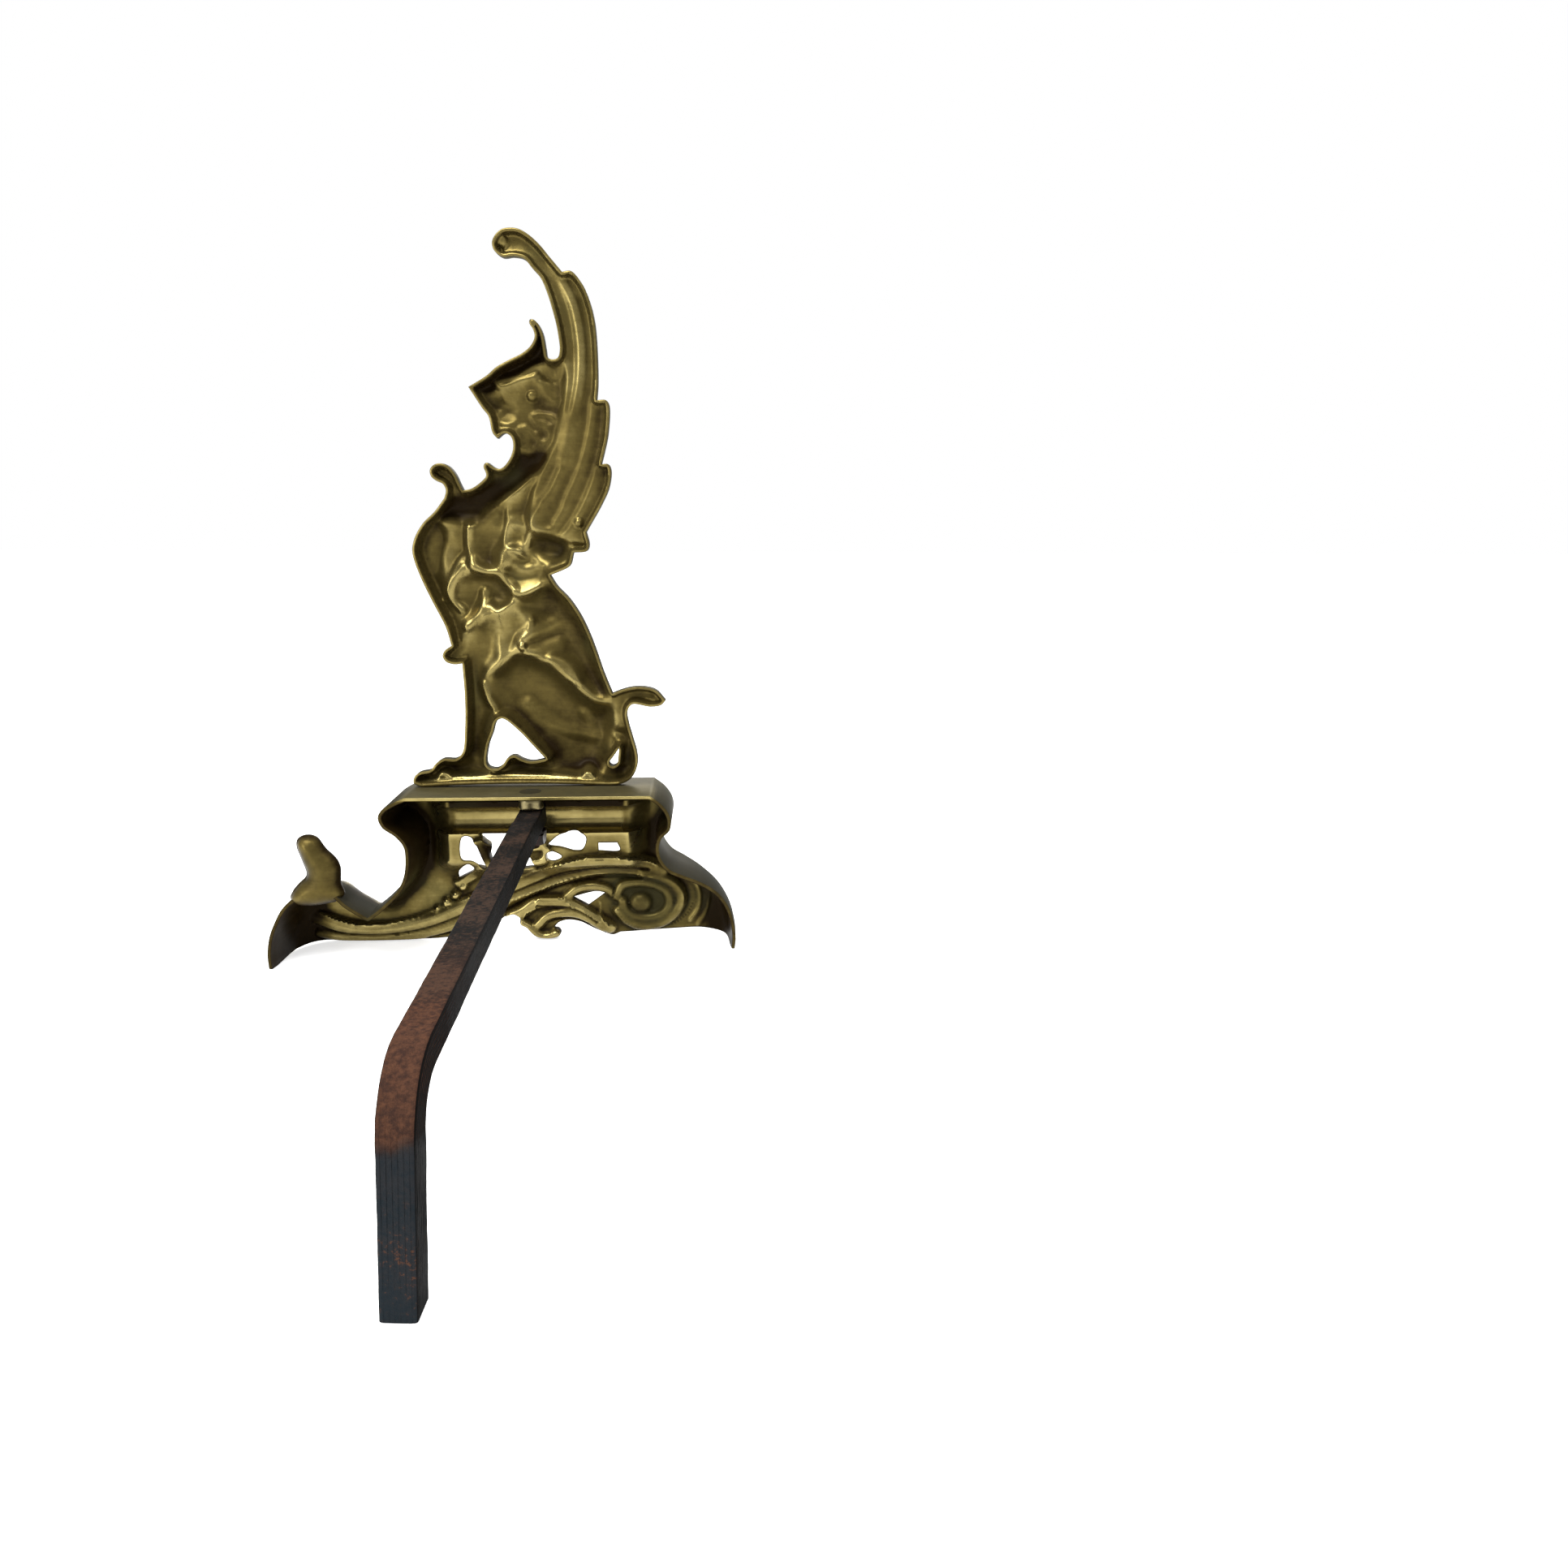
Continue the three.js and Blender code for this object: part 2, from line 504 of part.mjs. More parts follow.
// Depth of the base's front face away from its walls: the frame, the recessed panel, the nosing and
// the raised scrolls.
function faceDepth(p) {
  const across = smooth((p[0] - panel.left + panel.ramp) / panel.ramp) *
    smooth((panel.right + panel.ramp - p[0]) / panel.ramp);
  const up = smooth((p[1] - panel.low + panel.ramp) / panel.ramp) * smooth((104 - p[1]) / 5);
  const middle = (nosing.low + nosing.high) / 2;
  const fromMiddle = (p[1] - middle) / (nosing.high - middle);
  const roll = Math.abs(fromMiddle) < 1 ? nosing.bulge * Math.sqrt(1 - fromMiddle ** 2) * across : 0;
  const relief = baseLines.reduce((highest, { run, half, height }) => {
    const t = nearest(p, run, false).d / half;
    return t < 1 ? Math.max(highest, height * (1 - t * t)) : highest;
  }, 0);
  return stripDepth - 3 - panelRecess * across * up + roll + relief;
}

const wallWidth = (edge) => 2 + 0.55 * (stripDepth - edge);
const rimSetback = (p) => toeSetback * smooth((p[0] - 100) / 44);

function makeBase() {
  const cuts = [0, ...profileCorners, baseProfile.length - 1];
  const profile = cuts.slice(1).flatMap((end, i) => {
    const run = sampleRun(baseProfile.slice(cuts[i], end + 1), baseStep);
    return i === cuts.length - 2 ? run : run.slice(0, -1);
  });
  const lower = sampleClosed(baseLowerEdge, baseStep);
  const lowerEdge = lower.slice(1, lower.findIndex((p) => p[0] < -147.4));
  const loops = [
    [...profile, ...lowerEdge],
    ...baseOpenings.map((opening) => sampleClosed(opening, baseStep)),
  ];
  const toWall = (p) => nearest(p, profile, false);
  const front = (p) => {
    const near = toWall(p);
    const edge = Math.max(near.value, rimSetback(p) + 6);
    return turnIn(near.d, edge, faceDepth(p), wallWidth(near.value));
  };
  const back = (p) => {
    const near = toWall(p);
    const d = near.d - baseWall;
    const rim = rimSetback(p);
    if (d <= 0.05) return rim;
    const edge = Math.max(near.value, rim + 6);
    const floor = turnIn(d, edge, faceDepth(p), wallWidth(near.value)) - baseWall;
    return mix(rim, floor, smooth(d / rimStep));
  };
  const nosingLines = [nosing.low, 81, 86.5, 92, nosing.high].map((z) => ({
    line: [[panel.left, z], [panel.right, z]],
  }));
  const crest = crestPoints([...baseForms, ...nosingLines], loops, 6, 2.6);
  const within = (q) => inside(q, loops);
  const walled = [...profile].reverse();
  const rimRings = [baseWall, baseWall + rimStep].flatMap((distance) =>
    ringPoints(walled, false, distance, within).filter(
      (q) => nearest(q, loops[0], true).d > Math.min(distance, 2.5) * 0.97,
    ),
  );
  const deep = crest.filter((p) => toWall(p).d > baseWall + rimStep + 1.5);
  const clear = (p) => loops.every((loop) => nearest(p, loop, true).d > 3);
  const sheet = castSheet({
    loops,
    front,
    back,
    frontPoints: [...crest, ...gridPoints(loops, basePitch, crest)],
    backPoints: [
      ...rimRings,
      ...deep,
      ...gridPoints(loops, basePitch, [...deep, ...rimRings]).filter(
        (p) => toWall(p).d > baseWall + 2 && clear(p),
      ),
    ],
  });
  let solid = solidOf(sheet).add(solidOf(makeLeaf()));
  const sized = geometryOfSolid(solid);
  sized.translate(0, 0, -shelfRise);
  sized.scale(baseWidth / widest, 1, (shelfHeight + soleTrim) / shelfRise);
  sized.translate(0, 0, shelfHeight);
  const floor = new THREE.BoxGeometry(2 * baseWidth, 4 * stripDepth, 10);
  floor.translate(0, stripDepth, -5);
  solid = solidOf(sized).subtract(solidOf(floor));
  const pad = (radius, x, y) => solidOf(rod(radius, underShelf, shelfHeight - 1, x, y, 28));
  const hole = (x) => solidOf(rod(screw.shank + boreFit, underShelf - 2, shelfHeight + 1, x, screwY, 16));
  solid = solid.add(pad(padRadius.bolt, barX, boltY)).subtract(solidOf(boltBore()));
  for (const x of screwX) solid = solid.add(pad(padRadius.screw, x, screwY)).subtract(hole(x));
  return geometryOfSolid(solid);
}

// The curled leaf on the left toe, rounded on both sides.
function makeLeaf() {
  const loop = wound(sampleClosed(leafFinial, 4), 1);
  const swell = (p, full) => full * Math.sqrt(1 - (1 - clamp01(nearest(p, loop, true).d / 10)) ** 2);
  const middle = leafThickness.front / 2 - 2;
  const inner = gridPoints([loop], 4.5, []);
  return castSheet({
    loops: [loop],
    front: (p) => middle + 1 + swell(p, leafThickness.front - middle - 1),
    back: (p) => middle - 1 - swell(p, leafThickness.back + middle - 1),
    frontPoints: inner,
    backPoints: inner,
  });
}

// ---------------------------------------------------------------- bar and fastenings

const underShelf = shelfHeight - baseWall - padDepth;
const eyeTop = barTop - eyeStep;
const barBottom = barTop - barSize;

// The countersunk hole in the shelf.
function boltBore() {
  const top = bolt.head + fit;
  const hole = bolt.shank + boreFit;
  return turned(
    [[0, underShelf - 1], [hole, underShelf - 1], [hole, shelfHeight - bolt.headDepth - fit],
      [top, shelfHeight + 0.02], [top, shelfHeight + 1], [0, shelfHeight + 1]],
    32, barX, boltY,
  );
}

// One section of the bar: a square with its corners taken off, across the direction given.
function barSection(x, y, z, angle, drop) {
  const half = barSize / 2;
  const corner = half - barChamfer;
  const ring = [
    [half, corner], [corner, half], [-corner, half], [-half, corner],
    [-half, -corner], [-corner, -half], [corner, -half], [half, -corner],
  ];
  return ring.map(([side, up]) => {
    const lift = up > 0 ? up - drop : up;
    return [x + side, y - lift * Math.sin(angle), z + lift * Math.cos(angle)];
  });
}

function makeBar() {
  const middle = barTop - barSize / 2;
  const bendY = -(barReach - barSize / 2 - barBend);
  const drift = (y) => barX + (barSway * (boltY - y)) / (boltY - bendY);
  const sections = [
    [barFrontY, eyeStep], [barFrontY - eyeLength, eyeStep], [barFrontY - eyeLength - 4, 0], [bendY, 0],
  ].map(([y, drop]) => barSection(drift(y), y, middle, 0, drop));
  const bendSteps = 10;
  for (let i = 1; i <= bendSteps; i++) {
    const angle = (i / bendSteps) * (Math.PI / 2);
    const y = bendY - barBend * Math.sin(angle);
    const z = middle - barBend * (1 - Math.cos(angle));
    const turn = barX + barSway - legLean * 0.2 * (i / bendSteps);
    sections.push(barSection(turn, y, z, angle, 0));
  }
  sections.push(barSection(barX + barSway - legLean, -(barReach - barSize / 2), 0, Math.PI / 2, 0));
  const sides = sections[0].length;
  const indices = [];
  for (let s = 0; s < sections.length - 1; s++) {
    for (let i = 0; i < sides; i++) {
      const a = s * sides + i;
      const b = s * sides + ((i + 1) % sides);
      indices.push([a, b, a + sides], [b, b + sides, a + sides]);
    }
  }
  const last = (sections.length - 1) * sides;
  for (let i = 1; i < sides - 1; i++) {
    indices.push([0, i + 1, i], [last, last + i, last + i + 1]);
  }
  const hole = rod(bolt.shank + boreFit, barBottom - 2, barTop + 2, barX, boltY);
  return geometryOfSolid(solidOf(geometryOf(sections.flat(), indices)).subtract(solidOf(hole)));
}

function makeBolt() {
  const end = barBottom - fit - washer.thickness - fit - nut.thickness - bolt.tail;
  return turned(
    [[0, end], [bolt.shank - 0.6, end], [bolt.shank, end + 0.8],
      [bolt.shank, shelfHeight - bolt.headDepth], [bolt.head, shelfHeight], [0, shelfHeight]],
    28, barX, boltY,
  );
}

function ringSolid(inner, outer, low, high, chamfer, sides) {
  return turned(
    [[inner, low], [outer - chamfer, low], [outer, low + chamfer], [outer, high - chamfer],
      [outer - chamfer, high], [inner, high], [inner, low]],
    sides, barX, boltY,
  );
}

function makeNut() {
  const high = barBottom - fit - washer.thickness - fit;
  const low = high - nut.thickness;
  const block = new THREE.BoxGeometry(nut.flats, nut.flats, nut.thickness);
  block.translate(barX, boltY, (low + high) / 2);
  const rounded = turned(
    [[0, low], [nut.flats * 0.56, low], [nut.flats * 0.66, low + 1.6], [nut.flats * 0.66, high], [0, high]],
    24, barX, boltY,
  );
  const hole = rod(bolt.shank + boreFit, low - 1, high + 1, barX, boltY);
  return geometryOfSolid(solidOf(block).intersect(solidOf(rounded)).subtract(solidOf(hole)));
}

function makeScrew(x) {
  const seat = underShelf - fit;
  return turned(
    [[0, seat - screw.headHeight], [screw.head * 0.55, seat - screw.headHeight],
      [screw.head, seat - screw.headHeight * 0.45], [screw.head, seat], [screw.shank, seat],
      [screw.shank, shelfHeight + screw.bite - 1], [screw.shank - 1, shelfHeight + screw.bite],
      [0, shelfHeight + screw.bite]],
    16, x, screwY,
  );
}

// ---------------------------------------------------------------- assembly

const agedBrass = { color: 0x7d6a2c, roughness: 0.38, metalness: 1 };
const paleBrass = { color: 0x9a8a4c, roughness: 0.42, metalness: 1 };
const blackIron = { color: 0x2c2725, roughness: 0.62, metalness: 0.85 };
const steel = { color: 0x4b4844, roughness: 0.5, metalness: 1 };

const andiron = new THREE.Group();

function place(name, geometry, finish) {
  const mesh = new THREE.Mesh(geometry, new THREE.MeshStandardMaterial(finish));
  mesh.name = name;
  andiron.add(mesh);
}

place("base_casting", makeBase(), agedBrass);
place("figure_casting", makeFigure(), agedBrass);
place("billet_bar", makeBar(), blackIron);
place("bar_bolt", makeBolt(), blackIron);
place("spacer_collar",
  ringSolid(bolt.shank + boreFit, collarRadius, eyeTop + fit, underShelf - fit, 0.5, 32), paleBrass);
place("bolt_washer",
  ringSolid(bolt.shank + boreFit, washer.radius, barBottom - fit - washer.thickness, barBottom - fit, 0.3, 28),
  blackIron);
place("bolt_nut", makeNut(), blackIron);
screwX.forEach((x, i) => place(`figure_screw_${i + 1}`, makeScrew(x), steel));

// The origin goes to the floor under the middle of the whole.
andiron.updateMatrixWorld(true);
const whole = new THREE.Box3().setFromObject(andiron);
andiron.position.set(-(whole.min.x + whole.max.x) / 2, -(whole.min.y + whole.max.y) / 2, -whole.min.z);

export default andiron;
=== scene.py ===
"""A brass andiron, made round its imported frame: a hollow-backed casting of a seated winged beast on a
pierced scroll base, and the square iron bar, bolted under the shelf, that carries the logs.

The castings are sheets over the plane of the andiron. Outlines and forms are drawn in that plane in
millimetres, with x to the right and z up as seen from the hollow back; depths run towards the front."""

import math
from functools import reduce

import bpy
import numpy as np
from mathutils import Matrix, Vector
from mathutils.geometry import delaunay_2d_cdt


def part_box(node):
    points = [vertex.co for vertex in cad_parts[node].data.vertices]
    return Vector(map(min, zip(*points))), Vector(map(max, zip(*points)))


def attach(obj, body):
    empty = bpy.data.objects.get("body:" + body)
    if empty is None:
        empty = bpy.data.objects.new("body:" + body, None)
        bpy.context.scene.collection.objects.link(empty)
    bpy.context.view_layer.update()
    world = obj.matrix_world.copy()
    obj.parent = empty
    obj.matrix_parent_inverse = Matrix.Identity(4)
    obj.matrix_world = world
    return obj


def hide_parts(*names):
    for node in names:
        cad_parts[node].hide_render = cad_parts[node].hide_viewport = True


bl_info = {
    "name": "Winged beast andiron",
    "version": (1, 0, 0),
    "blender": (4, 5, 0),
    "location": "View3D > Sidebar > Andiron",
    "description": "Builds a brass andiron with its iron billet bar",
    "category": "Add Mesh",
}

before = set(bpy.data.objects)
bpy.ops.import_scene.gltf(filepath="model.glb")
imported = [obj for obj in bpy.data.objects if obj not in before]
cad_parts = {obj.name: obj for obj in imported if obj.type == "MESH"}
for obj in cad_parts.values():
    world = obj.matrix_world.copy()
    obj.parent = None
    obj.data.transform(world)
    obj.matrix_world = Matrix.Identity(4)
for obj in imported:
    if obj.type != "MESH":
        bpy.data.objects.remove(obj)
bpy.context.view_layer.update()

MM = 0.001

# ---------------------------------------------------------------- sizes of the castings, millimetres

BOLT_X, BOLT_Y = 18, 14  # the bolt's axis in the drawing
SHELF = 110  # floor to the top of the shelf
FIT = 0.3  # clearance between two pieces that touch
FIGURE_Y = 26  # the figure's back rim, in front of the base's
FIGURE_EDGE = 6  # depth of the figure's straight side wall
GAP_STEP = 0.55  # how far the metal between two hollows stands out
RIDGE_HEIGHT = 0.66  # share of its drawn height to which a ridge of the figure stands
RIDGE_SPREAD = 3.2  # how many of its drawn half widths a ridge of the figure reaches to each side
SOFTNESS = 2.5  # of the borders of the hollows
SCREWS_X = (-38, 52)  # the screws stand in lugs of the figure's plinth
LUG_RADIUS, LUG_TOP, LUG_DEPTH = 4.6, 5, 2.2
SHADE_REACH = 6  # how far the painted shade reaches below the figure's upper walls
# hollows darkened with painted shade, each by the amount given
SHADED_HOLLOWS = {"neck": 0.24, "cap": 0.5, "thigh": 0.1, "mane 1": 0.12, "mane 2": 0.1, "face": 0.1,
                 "shank": 0.1, "covert 1": 0.1}
FIGURE_ROUND = 7  # width over which the side wall turns into the face
BASE_WIDTH, BASE_DEPTH = 293, 50
BASE_DRAFT = 1.5  # width over which the inner side of the base's wall slopes down
BASE_EDGE_ROUND = 1.3  # rounding of the panel's free edges
BASE_LEAST_WALL = 0.8  # the hollow of the base stays this far behind its show face
LINE_SPREAD = 1.7  # how many of its drawn half widths a line of the base reaches to each side
PANEL = {"left": -38, "right": 75, "low": 60, "ramp": 16, "recess": 14}
NOSING = {"low": 78, "high": 95.5, "bulge": 11}
VOLUTE, VOLUTE_RADIUS = (86, 27), 26  # dirt lies in the volute's turns
BUD, BUD_RADIUS = (-16, 66), 8  # the bud between two openings, coloured darker
TOE_SETBACK = 20.5  # how far the right toe's rim lies in front of the back rim
BAR = {"front": 28, "top": 100, "reach": 318.5, "bend": 26, "sway": 7, "lean": 5, "eye": 44, "step": 1}
BAR_HALF = 7.25  # half the width of the billet bar
HOLE_RADIUS = 4.35  # of the washer, the nut and the collar

# ---------------------------------------------------------------- mesh and camera

RELAXING = 8  # rounds that even out the mesh away from its edges
LOOKS = ("worn", "skin")  # what a casting's finish reads at each corner: its wear together with painted shade and light, and its skin
EYE = (137.06, -662.8, 285.95)  # the camera's place in the drawing
TURN, TILT, ROLL = -3.316, -14.285, 0.3155  # degrees from a level view towards +Y

# ---------------------------------------------------------------- outlines, (x, z) in millimetres

SHARP = 1  # third number of an outline point at which the line turns a corner

# The figure seen from its hollow back, from the tip of the wing clockwise. Zero is the plinth's foot.
FIGURE_OUTLINE = [
    # wing curl and leading edge
    [10.5, 316], [12, 319.5], [16, 323], [20.5, 324], [25.5, 323.5], [30.5, 321], [36.5, 316],
    [42.5, 309], [49, 301.5, SHARP], [54, 302],
    # first long feather
    [60, 295.5], [63.5, 287.5], [66, 277.5], [67, 266.5], [67, 242], [66, 232.5, SHARP], [71.5, 232.5],
    # second
    [73, 230], [72, 214], [69.5, 203.5], [67.5, 196.5, SHARP], [71.5, 196.5],
    # third, and the tips of the coverts below it
    [73, 193], [71.5, 183], [67, 173.5], [57, 157, SHARP], [58.5, 149.5], [57, 146], [49, 145, SHARP],
    [47, 138], [45, 136], [34.5, 131.5, SHARP],
    # back and rump
    [38.5, 125], [45, 118], [51.5, 108], [56.5, 97], [60.5, 85.5], [64.5, 72.5], [69.5, 59, SHARP],
    # tail, its leaf and its root
    [76, 61.5], [83, 63], [89.5, 63], [96.5, 61], [102.5, 54.5, SHARP], [99.5, 51.5], [93, 50.5],
    [81.5, 52], [78.3, 47], [79, 40], [81.5, 30], [83.5, 22], [84, 15], [82.5, 9], [79, 4], [73, 0.8],
    [66, 0, SHARP],
    # plinth, filed to a slight arch
    [36, 1.2], [4, 1.6], [-30, 1], [-52, 0, SHARP], [-56.5, 2.5], [-55.5, 7], [-52, 9.5],
    # fore paw and fore leg
    [-45.5, 11], [-42, 15], [-37, 18], [-29.5, 18], [-25, 22], [-22.5, 36.5], [-21.2, 58],
    [-21.5, 78, SHARP],
    # curl of hair at the elbow
    [-26, 77.5], [-31, 79], [-33, 82.5], [-31.5, 86], [-27.2, 89, SHARP],
    # chest
    [-30, 100.5], [-36, 114], [-41.5, 127], [-45.5, 139], [-46.5, 146], [-44.5, 153.5], [-39, 162],
    [-32, 168.5], [-25.5, 176.5, SHARP],
    # acanthus curl on the breast
    [-24.3, 181], [-25.8, 184.6], [-29.2, 186.2], [-32.3, 188.8], [-32.8, 192.6], [-30, 195.6],
    [-25.5, 196.2], [-21.5, 194.3], [-18.2, 190], [-16.2, 185.2], [-14.3, 181, SHARP],
    # throat, lower lip and open mouth
    [-9.5, 182], [-3.5, 185.9], [-0.2, 189.6], [-1.5, 194.6], [-0.6, 196.5], [1, 196.8], [4.5, 194.3],
    [7.5, 193.4], [10, 194.4], [14.6, 200.2], [16.5, 206.5], [15.5, 211.5], [12, 213.5],
    [7.5, 210.5, SHARP], [5, 213.5], [3, 223], [0, 227], [-7.5, 239, SHARP],
    # peak of the cap, and its horn with a rounded tip
    [3.5, 245.5], [9, 250], [16.5, 254], [24, 257.6], [29.5, 262], [31.9, 267], [31, 271],
    [29.2, 274], [29.6, 275.9], [31.5, 276], [34.2, 273.6], [36.5, 268.6], [37.8, 260.5],
    [38.7, 255.6], [41.5, 254.6], [44.6, 255.6],
    # inner edge of the wing
    [45.9, 260], [45.4, 267.5], [44.4, 274], [42.6, 281.5], [40.5, 289], [37, 297.7], [32, 303.5],
    [28, 308], [22, 309.3],
    [16, 308.8], [11.5, 312],
]

LEG_OPENING = [
    [-3, 41.5], [1, 43.5], [11, 35.5], [18, 27.5], [26.5, 17.5, SHARP], [17.5, 16], [12, 17.5],
    [7, 20], [3, 18.5], [-1, 13.5], [-5, 11.5], [-10, 13.5], [-9, 25.5], [-5.5, 34.5],
]
TAIL_OPENING = [[72.5, 24, SHARP], [72, 19], [71, 14], [68, 12.5], [66, 14.5], [69, 19]]

# Forms of the figure's hollow. Depths are from the back rim, towards the show side.
HOLLOW_FLOOR = 6  # depth between the forms

# Rounded hollows: name, depth, width over which the border turns into the floor, border.
HOLLOWS = [
    ("cap", 13, 4, [(-4.5, 239), (1, 243), (6.5, 247), (14, 251.5), (21.5, 255.5), (27, 259), (31, 264),
         (32, 268.5), (32, 272.5), (32, 277.5), (33, 279.5), (34.5, 277.5), (36, 271.5), (36.5, 264.5),
         (36.5, 258.5), (37, 254.5), (42, 254), (47, 253.5), (40.5, 253), (32, 252.5), (26.5, 250),
         (19, 246), (10, 243.5), (6.5, 243), (7, 241), (9.5, 239), (5.5, 237.5), (0.5, 236.5)]),
    ("brow", 8.5, 1.5, [(7.5, 242.5), (10.5, 244), (19.5, 245), (26, 248.5), (32.5, 251.5), (40.5, 252),
         (47, 252), (48, 248), (48, 243), (44, 241.5), (41, 244.5), (36.5, 245.5), (32.5, 246.5),
         (25.5, 243.5), (19, 242), (12.5, 240), (9.5, 240.5)]),
    ("face", 9.5, 3, [(-6, 236.5), (1.5, 236), (9, 237.5), (18, 239), (24.5, 241.5), (32, 244),
         (40.5, 243), (47, 241), (47, 233.5), (45.5, 228.5), (43.5, 223), (42.5, 219), (39.5, 213.5),
         (36, 208.5), (30, 202), (24.5, 199.5), (20.5, 205), (17.5, 211.5), (14.5, 216.5),
         (12.5, 218.5), (8, 217), (5, 215.5), (4, 220), (3, 224), (0.5, 228), (-3, 233)]),
    ("neck", 17, 8, [(17.5, 202.5), (36, 202.5), (29, 191.5), (20, 183.5), (10.5, 176.5), (3.5, 170),
         (-5, 161), (-12.5, 160.5), (-24.5, 161), (-32.5, 164), (-35.5, 166.5), (-23.5, 177.5),
         (-13.5, 178), (-2, 186), (11.5, 192.5), (16, 198)]),
    ("chest", 17, 7, [(-36.5, 165), (-24.5, 162), (-16, 161), (-13, 151), (-12.5, 140), (-18.5, 136.5),
         (-27, 127.5), (-30, 119.5), (-25.5, 114), (-21.5, 105), (-21, 96), (-24, 86.5), (-28.5, 91),
         (-33, 102.5), (-40, 116.5), (-44.5, 131), (-46, 145.5), (-43, 156.5)]),
    ("mane 1", 13, 4, [(-12, 159), (-5, 168.5), (2, 172), (11, 175.5), (10.5, 165.5), (7.5, 156.5),
         (6, 148), (3.5, 139), (-0.5, 134.5), (-7, 135.5), (-12, 141), (-14, 150)]),
    ("mane 2", 11, 3, [(11, 174), (22, 176.5), (28.5, 172), (24, 164.5), (21.5, 161), (17, 160),
         (11.5, 161), (9.5, 166.5)]),
    ("mane 3", 12, 3, [(10, 159), (17, 159.5), (21, 159), (22, 153.5), (18.5, 148), (14, 148),
         (8.5, 150)]),
    ("mane 4", 15, 3, [(18, 148), (23.5, 142.5), (26.5, 138), (20, 135.5), (14, 136.5), (11, 140),
         (14.5, 141)]),
    ("covert 1", 14, 3, [(26.5, 154.5), (36.5, 155.5), (44, 150), (45.5, 146), (41.5, 139.5),
         (32.5, 139), (23.5, 142.5), (19.5, 147), (22, 152.5)]),
    ("covert 2", 9, 2, [(46, 150.5), (55, 157), (57, 153.5), (56, 146.5), (48.5, 146.5)]),
    ("covert 3", 12, 3, [(3, 130), (9, 137), (17.5, 134.5), (30, 137), (31, 132.5), (28, 127),
         (19.5, 125), (11, 123), (6, 126.5)]),
    ("thigh", 20, 11, [(11.5, 116), (20.5, 118.5), (31.5, 125.5), (37, 121), (44.5, 111.5), (52, 99),
         (57, 86), (61.5, 73.5), (64.5, 61.5), (66.5, 55.5), (58.5, 55.5), (50.5, 62.5), (40.5, 72),
         (30.5, 79.5), (20, 84), (14.5, 87.5), (19.5, 98), (17.5, 105), (12.5, 109.5)]),
    ("inner leg", 12, 3, [(5, 107.5), (13, 110), (19.5, 104), (20, 99.5), (13, 91.5), (9.5, 87),
         (2.5, 79), (0.5, 89), (2.5, 100.5)]),
    ("upper arm", 15, 4, [(-26, 114), (-25, 123), (-18.5, 130.5), (-7.5, 131), (1.5, 130.5),
         (9.5, 121.5), (8.5, 114), (2.5, 111), (-2, 111), (-7.5, 112), (-10, 107.5), (-18.5, 100.5),
         (-21, 106)]),
    ("fore leg", 14, 5, [(-16, 98.5), (-9, 104), (-5.5, 106.5), (1, 103), (1.5, 91.5), (0, 80),
         (-6.5, 71.5), (-9, 63.5), (-7.5, 54), (-4, 45.5), (-6, 42), (-9.5, 35), (-12, 24.5),
         (-14.5, 15.5), (-23.5, 16), (-23.5, 38.5), (-23.5, 56.5), (-21.5, 80)]),
    ("shank", 21, 9, [(-8.5, 68), (0, 74.5), (9.5, 82), (18.5, 80.5), (31, 75), (41, 65.5), (52.5, 55),
         (60.5, 50.5), (67, 49.5), (68.5, 37.5), (66, 23), (64, 14), (57.5, 5), (45.5, 2.5),
         (31.5, 8.5), (26, 17), (17, 26), (9.5, 33), (0.5, 40), (-6, 50)]),
    ("rump", 12, 3, [(65.5, 34.5), (78.5, 34.5), (81.5, 22.5), (80, 10), (75, 3.5), (63, 4),
         (65, 16.5)]),
    ("tail leaf", 6.5, 2.5, [(73, 55.5), (81.5, 60.5), (93, 61), (100, 55.5), (93, 53), (82.5, 53),
         (76.5, 49.5)]),
    ("fore paw", 13, 4, [(-56.5, 3.5), (-49.5, 8), (-43.5, 6), (-42, 11.5), (-31.5, 13.5), (-25.5, 17),
         (-23, 35), (-14, 35), (-15, 17), (-12, 7), (-26.5, 5), (-44, 3.5)]),
    ("hind paw", 13, 4, [(1, 10.5), (7, 15.5), (17.5, 12), (28, 11.5), (32.5, 10.5), (46.5, 4),
         (58.5, 2.5), (35, 5.5), (11.5, 8)]),
    ("wing tip", 8, 3, [(11.5, 317.5), (14.5, 321.5), (20.5, 323.5), (28, 322), (36, 315.5),
         (44, 306.5), (46.5, 302.5), (42.5, 301), (35.5, 307.5), (28.5, 312), (23, 312.5), (17, 311),
         (13, 313.5)]),
    ("elbow curl", 5.5, 2, [(-32.5, 83), (-28.5, 87), (-24, 85), (-21.5, 79.5), (-29, 79)]),
]

